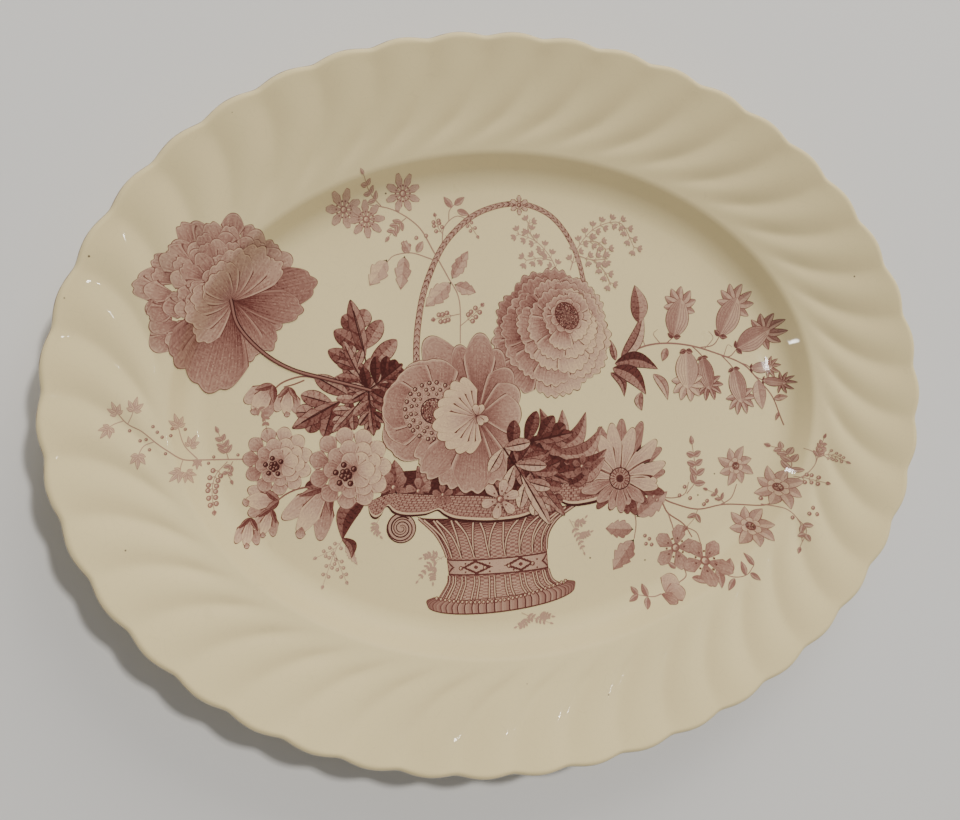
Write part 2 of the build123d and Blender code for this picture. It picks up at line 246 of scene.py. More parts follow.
def glaze_finish(tree, shader, add):
    """Wet gloss over a softer body: wandering roughness and the gentle waviness of a fired glaze."""
    place = add("ShaderNodeTexCoord")
    cloud = add("ShaderNodeTexNoise", Scale=55.0, Detail=4.0)
    gloss = add("ShaderNodeMapRange")
    gloss.inputs["To Min"].default_value = 0.24
    gloss.inputs["To Max"].default_value = 0.36
    tree.links.new(place.outputs["Object"], cloud.inputs["Vector"])
    tree.links.new(cloud.outputs["Fac"], gloss.inputs["Value"])
    tree.links.new(gloss.outputs["Result"], shader.inputs["Roughness"])
    wave = add("ShaderNodeTexNoise", Scale=90.0, Detail=3.0)
    ripple = add("ShaderNodeBump", Strength=0.12, Distance=0.0006)
    tree.links.new(place.outputs["Object"], wave.inputs["Vector"])
    tree.links.new(wave.outputs["Fac"], ripple.inputs["Height"])
    tree.links.new(ripple.outputs["Normal"], shader.inputs["Normal"])
    shader.inputs["Coat Weight"].default_value = 0.45
    shader.inputs["Coat Roughness"].default_value = 0.035
    shader.inputs["IOR"].default_value = 1.5
    return place


def make_glaze():
    """Ivory glaze: clouded cream, faint crazing and a few iron specks."""
    material, tree, shader, add = new_material("ivory_glaze")
    place = glaze_finish(tree, shader, add)
    cream, _ = clouded(
        tree, add, place, {"Scale": 14.0, "Detail": 5.0},
        [c * 0.95 for c in CREAM], [min(c * 1.03, 1) for c in CREAM], 0.3, 0.7,
    )

    craze = add("ShaderNodeTexVoronoi", Scale=260.0, feature="DISTANCE_TO_EDGE")
    hairline = add("ShaderNodeMapRange")
    hairline.inputs["From Max"].default_value = 0.03
    hairline.inputs["To Min"].default_value = 0.955
    hairline.inputs["To Max"].default_value = 1.0
    tree.links.new(place.outputs["Object"], craze.inputs["Vector"])
    tree.links.new(craze.outputs["Distance"], hairline.inputs["Value"])
    crazed = add("ShaderNodeMix", data_type="RGBA", blend_type="MULTIPLY")
    crazed.inputs["Factor"].default_value = 1.0
    tree.links.new(cream, crazed.inputs["A"])
    tree.links.new(hairline.outputs["Result"], crazed.inputs["B"])

    speck = add("ShaderNodeTexVoronoi", Scale=120.0)
    chosen = add("ShaderNodeMapRange")
    chosen.inputs["From Min"].default_value = 0.03
    chosen.inputs["From Max"].default_value = 0.06
    chosen.inputs["To Min"].default_value = 1.0
    chosen.inputs["To Max"].default_value = 0.0
    rare = add("ShaderNodeMath", operation="GREATER_THAN")
    rare.inputs[1].default_value = 0.9
    both = add("ShaderNodeMath", operation="MULTIPLY")
    pick = add("ShaderNodeSeparateColor")
    tree.links.new(place.outputs["Object"], speck.inputs["Vector"])
    tree.links.new(speck.outputs["Distance"], chosen.inputs["Value"])
    tree.links.new(speck.outputs["Color"], pick.inputs["Color"])
    tree.links.new(pick.outputs["Red"], rare.inputs[0])
    tree.links.new(chosen.outputs["Result"], both.inputs[0])
    tree.links.new(rare.outputs["Value"], both.inputs[1])
    speckled = add("ShaderNodeMix", data_type="RGBA")
    speckled.inputs["B"].default_value = (*srgb(96, 78, 62), 1)
    tree.links.new(both.outputs["Value"], speckled.inputs["Factor"])
    tree.links.new(crazed.outputs["Result"], speckled.inputs["A"])
    tree.links.new(speckled.outputs["Result"], shader.inputs["Base Color"])
    return material


def make_ink(index):
    """One tone of the rose ink, glossy under its glaze."""
    tone = (index + 0.5) / TONES
    material, tree, shader, add = new_material(f"rose_ink_{index:02d}")
    glaze_finish(tree, shader, add)
    shader.inputs["Base Color"].default_value = (*ink_colour(tone), 1)
    return material


def make_lip_wear_and_shade():
    """Glaze at the lip's very edge: rubbed thin and stained brown in places, and darkened as painted shade where
    the edge turns away from the light.
    """
    material, tree, shader, add = new_material("lip_wear_and_shade")
    place = glaze_finish(tree, shader, add)
    # Brown noise: partly real stain and wear, partly painted shade darkening the lip's edge.
    stain, _ = clouded(
        tree, add, place, {"Scale": 160.0, "Detail": 5.0}, srgb(148, 122, 84), srgb(204, 184, 136), 0.4, 0.62,
    )
    tree.links.new(stain, shader.inputs["Base Color"])
    return material


def make_bare_clay():
    """Unglazed foot ring: matt, sandy and a little soiled."""
    material, tree, shader, add = new_material("bare_clay")
    place = add("ShaderNodeTexCoord")
    sand, grit = clouded(
        tree, add, place, {"Scale": 900.0, "Detail": 6.0}, srgb(178, 160, 132), srgb(214, 198, 170),
    )
    rough = add("ShaderNodeBump", Strength=0.5, Distance=0.0003)
    tree.links.new(sand, shader.inputs["Base Color"])
    tree.links.new(grit, rough.inputs["Height"])
    tree.links.new(rough.outputs["Normal"], shader.inputs["Normal"])
    shader.inputs["Roughness"].default_value = 0.85
    return material


# ---------------------------------------------------------------- meshes

def mesh_piece(name, points, quads, materials, material_index):
    """Blender object from points in millimetres and quads."""
    mesh = bpy.data.meshes.new(name)
    mesh.vertices.add(len(points))
    mesh.vertices.foreach_set("co", (np.asarray(points) * MM).ravel())
    mesh.loops.add(len(quads) * 4)
    mesh.loops.foreach_set("vertex_index", np.asarray(quads).ravel())
    mesh.polygons.add(len(quads))
    mesh.polygons.foreach_set("loop_start", np.arange(len(quads)) * 4)
    for material in materials:
        mesh.materials.append(material)
    mesh.polygons.foreach_set("material_index", material_index)
    mesh.polygons.foreach_set("use_smooth", np.full(len(quads), True))
    mesh.update(calc_edges=True)
    mesh.validate()
    piece = bpy.data.objects.new(name, mesh)
    bpy.context.collection.objects.link(piece)
    return piece


def plan_uv(piece):
    """UV layer for baking: the plan of the piece spread over the whole square."""
    mesh = piece.data
    layer = mesh.uv_layers.new(name="OFBake")
    spots = np.empty(len(mesh.vertices) * 3)
    mesh.vertices.foreach_get("co", spots)
    spots = spots.reshape(-1, 3)[:, :2]
    low, high = spots.min(0), spots.max(0)
    scaled = UV_MARGIN + (1 - 2 * UV_MARGIN) * (spots - low) / (high - low)
    corners = np.empty(len(mesh.loops), dtype=np.int32)
    mesh.loops.foreach_get("vertex_index", corners)
    layer.data.foreach_set("uv", scaled[corners].ravel())


def rings_mesh(name, rings, materials, centre_height=None, wear_and_shade_bands=0):
    """Closed rings, outermost first, joined by quads; the outermost bands take the second material.

    A centre height fills the last ring with ever smaller ones.
    """
    if centre_height is not None:
        last = rings[-1]
        for share in (0.9, 0.75, 0.55, 0.35, 0.15, 0.02):
            inner = last * np.array([share, share, 1.0])
            inner[:, 2] = centre_height
            rings = rings + [inner]
    count = len(rings[0])
    points = np.concatenate(rings)
    around = np.arange(count)
    quads = []
    for i in range(len(rings) - 1):
        here, below = i * count + around, (i + 1) * count + around
        quads.append(np.stack([here, np.roll(here, -1), np.roll(below, -1), below], 1))
    index = np.zeros(len(quads) * count, dtype=np.int32)
    # The outermost bands take the lip material: brown wear with painted shade along the edge.
    index[:wear_and_shade_bands * count] = 1
    piece = mesh_piece(name, points, np.concatenate(quads), materials, index)
    plan_uv(piece)
    return piece


def ring(inward, height, flute, scallop, count):
    """Points round the platter at a distance in, waved by the flutes and the scalloped edge."""
    turn = 2 * np.pi * np.arange(count) / count
    crown = lobe(np.full(count, inward), turn)
    reach = inward + scallop * (1 - crown)
    return np.stack([
        (HALF_LENGTH - reach) * np.cos(turn),
        (HALF_WIDTH - reach) * np.sin(turn),
        height + flute * (crown - 1),
    ], 1)


def make_front(glaze, edge_wear_and_shade):
    """Front of the platter from the lip's outermost line to the middle of the well."""
    count = LOBES * 20
    rings = []
    for i in range(10):
        angle = LIP_PARTING + (math.pi / 2 + RIM_SLOPE - LIP_PARTING) * i / 10
        inward = LIP_CENTRE[0] - LIP_RADIUS * math.cos(angle)
        height = LIP_CENTRE[1] + LIP_RADIUS * math.sin(angle)
        rings.append(ring(inward, height, FLUTE_AT_LIP, scallop_depth(inward), count))
    stations = np.concatenate([
        np.linspace(LIP_TOP[0], RIM_FOOT[0] - 0.5, 56), np.linspace(RIM_FOOT[0], WALL_TOP[0], 9),
        np.linspace(WALL_TOP[0] + 0.7, FLOOR_INWARD, 24), np.linspace(FLOOR_INWARD + 3, FLOOR_INWARD + 40, 5),
    ])
    for inward in stations:
        rings.append(ring(
            inward, float(section_height(inward)), float(flute_height(inward)),
            scallop_depth(inward), count,
        ))
    # The four outermost bands of the lip take the lip material: brown wear and painted shade along the edge.
    return rings_mesh("platter_front", [r[::-1] for r in rings], [glaze, edge_wear_and_shade], FLOOR_HEIGHT, wear_and_shade_bands=4)


def underside_station(share):
    """(inward, height) along the bowl of the underside, from the rim's end to the foot."""
    start, end = (UNDER_RIM_END, UNDER_RIM_HEIGHT), (FOOT_OUTER - 1.5, 3.4)
    pulls = ((start[0] + 9.0, start[1] - 9.0 * math.tan(RIM_SLOPE)), (48.0, 5.2))
    weights = ((1 - share) ** 3, 3 * share * (1 - share) ** 2, 3 * share ** 2 * (1 - share), share ** 3)
    knots = (start, *pulls, end)
    return tuple(sum(w * knot[axis] for w, knot in zip(weights, knots)) for axis in (0, 1))


UNDER_LIP = (
    LIP_CENTRE[0] - LIP_RADIUS * math.sin(RIM_SLOPE),
    LIP_CENTRE[1] - LIP_RADIUS * math.cos(RIM_SLOPE),
)
UNDER_RIM_HEIGHT = UNDER_LIP[1] - (UNDER_RIM_END - UNDER_LIP[0]) * math.tan(RIM_SLOPE)


def make_back(glaze, edge_wear_and_shade):
    """Underside from the lip's outermost line to the glaze line on the foot."""
    count = LOBES * 16
    spots = []
    for i in range(8):
        angle = LIP_PARTING + (-math.pi / 2 + RIM_SLOPE - LIP_PARTING) * i / 7
        spots.append((LIP_CENTRE[0] - LIP_RADIUS * math.cos(angle),
                      LIP_CENTRE[1] + LIP_RADIUS * math.sin(angle)))
    for inward in np.linspace(UNDER_LIP[0] + 1.0, 32.0, 28):
        spots.append((inward, UNDER_LIP[1] - (inward - UNDER_LIP[0]) * math.tan(RIM_SLOPE)))
    spots += [underside_station(i / 14) for i in range(15)]
    spots += [(FOOT_OUTER - 0.9, 3.05), (FOOT_OUTER - 0.6, 2.5), (FOOT_OUTER - 0.2, 1.7), (FOOT_OUTER, 1.1)]
    rings = []
    for number, (inward, height) in enumerate(spots):
        share = 1.0 if number == 0 else UNDERSIDE_SHARE
        flute = float(flute_height(max(inward, 0.0))) * share
        if number < 8:
            flute = FLUTE_AT_LIP * (1 + (UNDERSIDE_SHARE - 1) * number / 7)
        rings.append(ring(inward, height, flute, scallop_depth(inward), count))
    # The three outermost bands under the lip take the same brown wear and painted shade.
    return rings_mesh("platter_back", rings, [glaze, edge_wear_and_shade], wear_and_shade_bands=3)


def make_foot(clay):
    """Bare contact band of the foot ring, rounded at both edges."""
    spots = [
        (FOOT_OUTER, 1.12), (FOOT_OUTER + 0.05, 0.7), (FOOT_OUTER + 0.25, 0.25), (FOOT_OUTER + 0.7, 0.02),
        (FOOT_OUTER + 2.2, 0.0), (FOOT_INNER - 0.6, 0.02), (FOOT_INNER - 0.2, 0.2), (FOOT_INNER, 0.7),
    ]
    rings = [ring(inward, height, 0.0, 0.0, FOOT_POINTS) for inward, height in spots]
    return rings_mesh("platter_foot_ring", rings, [clay])


def make_recess(glaze):
    """Glazed recess inside the foot ring, with a fillet where its wall meets its ceiling."""
    spots = [
        (FOOT_INNER, 0.65), (FOOT_INNER + 0.02, 1.4), (FOOT_INNER + 0.2, 2.0), (FOOT_INNER + 0.8, 2.6),
        (FOOT_INNER + 1.8, RECESS_HEIGHT),
    ]
    rings = [ring(inward, height, 0.0, 0.0, FOOT_POINTS) for inward, height in spots]
    return rings_mesh("platter_recess", rings, [glaze], centre_height=RECESS_HEIGHT)


# ---------------------------------------------------------------- ink patches

class Ink:
    """Patches of one motif: plan coordinates in millimetres and a tone, 0 to 1, for every small cell."""

    def __init__(self, level, step=FLAT_STEP, strength=1.0):
        self.level = level
        self.strength = strength
        self.step = step
        self.points = []
        self.quads = []
        self.tones = []
        self.count = 0

    def sheet(self, x, y, tone, layer=0):
        """A grid of plan points; tone has one value per cell."""
        rows, columns = x.shape
        index = np.arange(rows * columns).reshape(rows, columns) + self.count
        quads = np.stack([index[:-1, :-1], index[1:, :-1], index[1:, 1:], index[:-1, 1:]], -1).reshape(-1, 4)
        corner_x, corner_y = x.ravel()[quads - self.count], y.ravel()[quads - self.count]
        area = (corner_x[:, 2] - corner_x[:, 0]) * (corner_y[:, 3] - corner_y[:, 1])
        area -= (corner_y[:, 2] - corner_y[:, 0]) * (corner_x[:, 3] - corner_x[:, 1])
        quads[area < 0] = quads[area < 0][:, ::-1]
        lift = np.full(x.size, self.level + layer * self.step + len(self.points) * SHEET_STEP)
        self.points.append(np.stack([x.ravel(), y.ravel(), lift], 1))
        self.quads.append(quads)
        self.tones.append(np.broadcast_to(tone, (rows - 1, columns - 1)).ravel())
        self.count += x.size

    def press(self, name, inks, node, slot):
        """The finished piece, laid on the platter's front."""
        points = np.concatenate(self.points)
        points[:, 2] += INK_BASE + front_height(points[:, 0], points[:, 1])
        tones = np.clip((np.concatenate(self.tones) * self.strength * TONES).astype(int), 0, TONES - 1)
        used = sorted(set(tones.tolist()))
        where = {tone: place for place, tone in enumerate(used)}
        index = np.array([where[tone] for tone in tones.tolist()], dtype=np.int32)
        piece = mesh_piece(name, points, np.concatenate(self.quads), [inks[tone] for tone in used], index)
        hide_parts(node)
        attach(piece, "root")


def middles(grid):
    """Values at the middle of each cell of a grid."""
    return (grid[:-1, :-1] + grid[1:, :-1] + grid[:-1, 1:] + grid[1:, 1:]) / 4


def stops(length, cell, both=True):
    """Even stops along a length, with a thin cell for the contour at its end, or at both ends."""
    inner = max(int(round(length / cell)), 3)
    thin = min(CONTOUR / length, 0.2)
    if both:
        return np.concatenate([[0.0], np.linspace(thin, 1 - thin, inner), [1.0]])
    return np.concatenate([np.linspace(0.0, 1 - thin, inner + 1), [1.0]])


def placed(base, heading, along, across):
    """Plan coordinates of points given along and across a heading in degrees."""
    angle = math.radians(heading)
    x = base[0] + along * math.cos(angle) - across * math.sin(angle)
    y = base[1] + along * math.sin(angle) + across * math.cos(angle)
    return x, y


def petal(ink, base, heading, length, width, layer=0, body=0.4, deep=0.25, rim=0.13, rim_width=1.0,
          line=0.68, blunt=0.45, notch=0.0, frill=0.0, teeth=4, taper=0.8, bend=0.0, veins=0.05):
    """A petal that widens from its base to a rounded, notched or frilled end."""
    cell = 0.6 if max(length, width) > 7 else 0.45
    u, v = np.meshgrid(stops(length, cell, both=False), 2 * stops(width, cell) - 1, indexing="ij")
    half = width / 2 * np.sin(np.pi / 2 * u ** 0.9) ** taper
    top = 1 - blunt * np.abs(v) ** 2.3 - notch * np.exp(-(v / 0.2) ** 2)
    top = top - frill * (1 - np.abs(np.sin(np.pi * teeth * (v + 1) / 2)))
    along = length * u * (1 + (top - 1) * u ** 1.4)
    across = v * half + bend * length * u * u
    x, y = placed(base, heading, along, across)
    um, vm = middles(u), middles(v)
    edge = np.minimum((1 - np.abs(vm)) * middles(half), (1 - um) * length * 0.9)
    tone = body + deep * (1 - um) ** 1.7 + 0.14 * np.abs(vm) ** 3
    tone = tone + veins * np.cos(2 * np.pi * vm * max(width / 3.0, 2)) * (1 - 0.5 * um)
    tone = tone + 0.035 * rng.standard_normal(tone.shape)
    glow = np.clip(1 - edge / rim_width, 0, 1) * np.clip(um * 3, 0, 1)
    tone = tone + (rim - tone) * glow
    tone = np.where(edge < 0.16, line, tone)
    ink.sheet(x, y, tone, layer)


def leaf(ink, base, heading, length, width, layer=0, body=0.6, vein=0.9, line=0.8, lobes=0, depth=0.35,
         bend=0.0, side=0.1, point=0.8, veins=0.14, end=0.85):
    """A leaf with a midrib, side veins and, if asked, a lobed or toothed edge."""
    cell = 0.55 if length > 9 else 0.42
    u, v = np.meshgrid(stops(length, cell, both=False), 2 * stops(width, cell) - 1, indexing="ij")
    half = width / 2 * np.sin(np.pi * u ** point) ** end
    if lobes:
        saw = (u * lobes) % 1.0
        half = half * (1 - depth * saw ** 1.5)
    along = length * u + (0.12 * width * np.abs(v) if lobes else 0)
    across = v * half + bend * length * np.sin(np.pi * u) * 0.5
    x, y = placed(base, heading, along, across)
    um, vm = middles(u), middles(v)
    edge = (1 - np.abs(vm)) * middles(half)
    count = lobes if lobes else max(int(length / 2.2), 2)
    stripe = ((um * count + 0.45 * (1 - np.abs(vm))) % 1.0) < 0.2
    tone = body + side * np.sign(vm) + 0.1 * (1 - um) + 0.03 * rng.standard_normal(um.shape)
    tone = np.where(stripe & (np.abs(vm) < 0.85), tone + veins, tone)
    tone = np.where(np.abs(vm) < 0.4 / max(width, 1.0), vein, tone)
    tone = np.where(edge < 0.15, line, tone)
    ink.sheet(x, y, tone, layer)


def smooth_path(points, spacing):
    """Points every so often along a Catmull-Rom curve through the given ones."""
    knots = np.array(points, dtype=float)
    padded = np.vstack([2 * knots[0] - knots[1], knots, 2 * knots[-1] - knots[-2]])
    spots = []
    for i in range(len(knots) - 1):
        a, b, c, d = padded[i:i + 4]
        count = max(int(np.linalg.norm(c - b) / spacing), 2)
        for t in np.arange(count) / count:
            spots.append(0.5 * (2 * b + (c - a) * t + (2 * a - 5 * b + 4 * c - d) * t * t
                                + (3 * b - a - 3 * c + d) * t ** 3))
    spots.append(knots[-1])
    return np.array(spots)


def sideways(path):
    """Unit normals of a plan path, to its left."""
    along = np.gradient(path, axis=0)
    along /= np.maximum(np.linalg.norm(along, axis=1, keepdims=True), 1e-9)
    return np.stack([-along[:, 1], along[:, 0]], 1)


def stem(ink, points, width=0.7, end_width=None, layer=0, tone=0.55, edge=0.75):
    """A stem along a curve: thick ones are dark at both edges, thin ones one even stroke."""
    path = smooth_path(points, 0.8)
    normal = sideways(path)
    end_width = width if end_width is None else end_width
    half = np.linspace(width, end_width, len(path))[:, None] / 2
    across = np.array([-1.0, -0.45, 0.45, 1.0]) if width > 0.9 else np.array([-1.0, 1.0])
    x = path[:, :1] + normal[:, :1] * half * across
    y = path[:, 1:] + normal[:, 1:] * half * across
    strokes = np.array([edge, tone, edge + 0.1]) if width > 0.9 else np.array([tone])
    ink.sheet(x, y, np.tile(strokes, (len(path) - 1, 1)), layer)


def berry(ink, centre, radius=0.8, layer=0, tone=0.45, edge=0.75):
    """A small round berry or stamen: dark rim, lit from the upper left."""
    turn = np.linspace(0, 2 * np.pi, 11)
    r, t = np.meshgrid(np.array([0.02, 0.6, 1.0]) * radius, turn, indexing="ij")
    x, y = centre[0] + r * np.cos(t), centre[1] + r * np.sin(t)
    shade = np.stack([tone - 0.3 * np.cos(turn[:-1] - 2.3), np.full(10, edge)])
    ink.sheet(x, y, shade, layer)


def disc(ink, centre, radius, squash=1.0, tilt=0.0, layer=0, tone=0.75, speckle=0.2, edge=0.85):
    """A stippled flower eye."""
    turn = np.linspace(0, 2 * np.pi, max(int(radius * 14), 16))
    rings = np.linspace(0.02, 1.0, max(int(radius / 0.4), 4))
    r, t = np.meshgrid(rings * radius, turn, indexing="ij")
    x, y = placed(centre, tilt, r * np.cos(t), squash * r * np.sin(t))
    shade = tone + speckle * rng.standard_normal((len(rings) - 1, len(turn) - 1))
    shade[-1] = edge
    ink.sheet(x, y, shade, layer)


def strip(ink, lower, upper, tone, layer=0, cell=0.6, rows=None):
    """A patch between two curves; tone is a function of the cells' (along, up) shares."""
    one, two = smooth_path(lower, 0.5), smooth_path(upper, 0.5)
    count = max(int(max(len(one), len(two)) * 0.5 / cell), 4)

    def resampled(path):
        gone = np.concatenate([[0], np.cumsum(np.linalg.norm(np.diff(path, axis=0), axis=1))])
        return np.stack([np.interp(np.linspace(0, gone[-1], count), gone, path[:, k]) for k in (0, 1)], 1)

    one, two = resampled(one), resampled(two)
    height = np.linalg.norm(two - one, axis=1).max()
    rows = rows or max(int(height / cell), 3)
    up = np.linspace(0, 1, rows + 1)
    x = one[:, :1] + (two[:, :1] - one[:, :1]) * up
    y = one[:, 1:] + (two[:, 1:] - one[:, 1:]) * up
    a, b = np.meshgrid(np.linspace(0, 1, count), up, indexing="ij")
    ink.sheet(x, y, tone(middles(a), middles(b)), layer)


def blossom(ink, centre, radius, petals=5, turn=90.0, layer=0, body=0.42):
    """A small open flower: petals round an eye, with a ring of dots."""
    for i in range(petals):
        heading = turn + 360 / petals * i
        base = placed(centre, heading, radius * 0.12, 0)
        petal(ink, base, heading, radius * 0.9, radius * 2.6 / petals * 1.25, layer + i % 2, body, 0.22,
              rim=body - 0.12, rim_width=0.6, notch=0.06, line=0.66)
    berry(ink, centre, radius * 0.2, layer + 3, 0.3, 0.7)
    for i in range(petals * 2):
        berry(ink, placed(centre, turn + 180 / petals * i, radius * 0.4, 0), radius * 0.045,
              layer + 3, 0.8, 0.85)


def sprig(ink, points, leaf_length=3.2, leaf_width=1.5, pairs=5, layer=0, tone=0.5, stem_tone=0.5, start=0.25,
          width=0.35, berries=False):
    """A thin stem with paired leaflets, or berries, along its outer part and one at its tip."""
    stem(ink, points, width, width * 0.6, layer, stem_tone)
    path = smooth_path(points, 0.5)
    normal = sideways(path)
    for i in range(pairs):
        spot = int((start + (0.97 - start) * i / pairs) * (len(path) - 1))
        ahead = math.degrees(math.atan2(-normal[spot, 0], normal[spot, 1]))
        for side in (-1, 1):
            heading = ahead + side * (52 + 8 * rng.standard_normal())
            size = leaf_length * (1 - 0.35 * i / pairs)
            if berries:
                tip = placed(path[spot], heading, size * 0.8, 0)
                stem(ink, [tuple(path[spot]), tip], 0.25, 0.25, layer, stem_tone)
                berry(ink, tip, leaf_width * 0.45, layer + 1, tone - 0.1, tone + 0.2)
            else:
                leaf(ink, path[spot], heading, size, leaf_width, layer + 1, tone - 0.08, tone + 0.24,
                     tone + 0.2,
                     veins=0.04, side=0.08, end=0.65)
    ahead = math.degrees(math.atan2(-normal[-1, 0], normal[-1, 1]))
    leaf(ink, path[-1], ahead, leaf_length * 0.8, leaf_width * 0.8, layer + 1, tone, tone + 0.2, tone + 0.12)


# ---------------------------------------------------------------- motifs

def peony():
    """Full flower seen from behind: a heap of curled petals, a folded collar and a fan of broad ones."""
    ink = Ink(0.0, WALL_STEP)
    heart = (-111.0, 44.0)
    layer = 0
    for row, (reach, count, size) in enumerate(((1.0, 15, 10.5), (0.86, 14, 9.5), (0.72, 12, 9.0),
                                                (0.6, 10, 8.4), (0.48, 8, 8.0))):
        for i in range(count):
            heading = 38 + (212 - 38) * (i + 0.5 * (row % 2)) / (count - 1)
            far = (29 + 7 * np.clip((heading - 110) / 95, 0,
                                    1) + 1.2 * rng.standard_normal() * (row == 0)) * reach
            tip_bend = 0.15 * rng.standard_normal()
            base = placed(heart, heading, far - size, 0)
            petal(ink, base, heading + 10 * rng.standard_normal(), size * (1 + 0.12 * rng.standard_normal()),
                  size * 0.86, layer + i % 3, 0.34 + 0.05 * rng.standard_normal(), 0.3, 0.12, 0.9,
                  notch=0.1 * (i % 2), blunt=0.5, bend=tip_bend)
        layer += 3
    fans = (
        (-30, 22, 14, 0.44), (12, 34, 17, 0.5), (-52, 25, 14, 0.46), (-9, 28, 14, 0.46),
        (-128, 33, 19, 0.46), (-74, 25, 15, 0.4), (-105, 37, 25, 0.42),
    )
    for heading, length, width, body in fans:
        petal(ink, heart, heading, length, width, layer, body, 0.42, body - 0.14, 1.2, frill=0.05, teeth=3,
              blunt=0.32, veins=0.07, taper=0.9)
        layer += 1

    for heading, length, width in (
        (232, 21, 11), (36, 25, 11), (208, 19, 13), (56, 24, 13), (184, 15, 12), (78, 19, 13), (160, 11, 11),
        (104, 14, 12), (132, 11, 12),
    ):
        petal(ink, heart, heading, length, width, layer, 0.3, 0.3, 0.06, 1.1, frill=0.08, teeth=3, blunt=0.3,
              line=0.76, taper=0.6)
        layer += 0.5
    stem(ink, [(-111, 44), (-108.5, 34), (-100, 24), (-89, 17), (-74, 12.5), (-58, 8)], 1.7, 1.5, layer + 1,
         0.5, 0.85)
    return ink


def poppy():
    """Open poppy with a ring of stamens, half hidden by pale folded petals, and a second flower behind it."""
    ink = Ink(0.16)
    eye, axis = (-33.0, -1.0), (-14.8, -3.5)
    layer = 0
    for heading, length, width, body in (
        (122, 38, 17, 0.36), (104, 30, 12, 0.46), (70, 29, 13, 0.44), (86, 34, 14, 0.4), (52, 24, 13, 0.44),
        (-58, 22, 14, 0.36), (30, 21, 14, 0.36), (-30, 20, 15, 0.4), (2, 19, 17, 0.32),
    ):
        petal(ink, axis, heading, length, width, layer, body, 0.44, 0.08, 1.3, line=0.84, blunt=0.34,
              taper=1.2,
              veins=0.03)
        layer += 1
    for heading, length, width, body in (
        (96, 22, 25, 0.4), (222, 25, 22, 0.38), (192, 22, 22, 0.4), (140, 21, 26, 0.36), (170, 22, 20, 0.42),
    ):
        petal(ink, eye, heading, length, width, layer, body, 0.3, 0.06, 1.4, notch=0.06, blunt=0.34,
              veins=0.03,
              frill=0.03, teeth=3, line=0.84)
        layer += 1
    for heading, length, width in ((-146, 32, 14), (-116, 33, 15), (-134, 34, 14), (-74, 30, 15),
                                   (-96, 33, 19)):
        petal(ink, axis, heading, length, width, layer, 0.38, 0.44, 0.06, 1.4, notch=0.05, blunt=0.36,
              line=0.84,
              frill=0.02, teeth=2, taper=1.1)
        layer += 1
    disc(ink, eye, 12.6, squash=0.96, layer=layer, tone=0.36, speckle=0.08, edge=0.36)
    for radius, count, size in ((11.2, 17, 0.95), (8.8, 14, 0.85), (6.9, 10, 0.7)):
        for i in range(count):
            spot = placed(eye, 46 + 255 * (i + 0.3 * rng.random()) / (count - 1),
                          radius + 0.4 * rng.random(), 0)
            berry(ink, spot, size, layer, 0.42, 0.95)
    disc(ink, eye, 5.2, layer=layer, tone=0.68, speckle=0.22, edge=0.95)
    layer += 1
    for heading, length, width in (
        (110, 17, 8.4), (256, 16, 8.4), (126, 17.5, 9), (240, 17.5, 9), (143, 17, 9), (224, 18.5, 9.6),
        (160, 17.5, 9.6), (207, 19, 9.6), (176, 18.5, 9.6), (192, 19.5, 9.6),
    ):
        petal(ink, axis, heading, length, width, layer, 0.05, 0.5, 0.0, 1.2, line=0.82, blunt=0.5,
              veins=0.02, taper=1.3)
        layer += 1
    for heading, length in ((60, 5.4), (-25, 5.4), (100, 5.0), (-62, 4.6)):
        petal(ink, axis, heading, length, 3.4, layer, 0.08, 0.5, 0.0, 0.5, line=0.8)
    return ink


def ranunculus():
    """Crowded flower of frilled petals round a dark speckled eye, shaded on its left, pale on its right."""
    ink = Ink(0.12)
    layer = 0
    rows = ((1.0, 12, 15.0), (0.86, 11, 14.0), (0.71, 10, 13.0), (0.56, 8, 11.5), (0.42, 7, 9.5))
    for row, (reach, count, size) in enumerate(rows):
        centre = (18 + 6.5 * (1 - reach) / 0.58, 29 + 7.0 * (1 - reach) / 0.58)
        for i in range(count):
            heading = 360 * (i + 0.5 * (row % 2)) / count + 6 * rng.standard_normal()
            far = 27.0 * reach + 1.1 * rng.standard_normal()
            base = placed(centre, heading, far - size, 0)
            lit = 0.5 + 0.5 * math.cos(math.radians(heading + 35))
            body = 0.5 - 0.36 * lit - 0.02 * row + 0.04 * rng.standard_normal()
            petal(ink, base, heading, size, size * 1.2, layer + i % 3, body, 0.5, max(body - 0.26, 0.02), 1.4,
                  frill=0.11, teeth=4 + i % 2, blunt=0.34, taper=0.5, line=0.8, veins=0.06)
        layer += 3
    for i in range(9):
        petal(ink, placed((25, 37), 40 * i, 2.0, 0), 40 * i, 5.6, 5.0, layer + i % 2, 0.3, 0.6, 0.1, 0.8,
              line=0.75)
    disc(ink, (25, 37), 6.2, squash=0.78, tilt=125, layer=layer + 2, tone=0.72, speckle=0.22)
    return ink


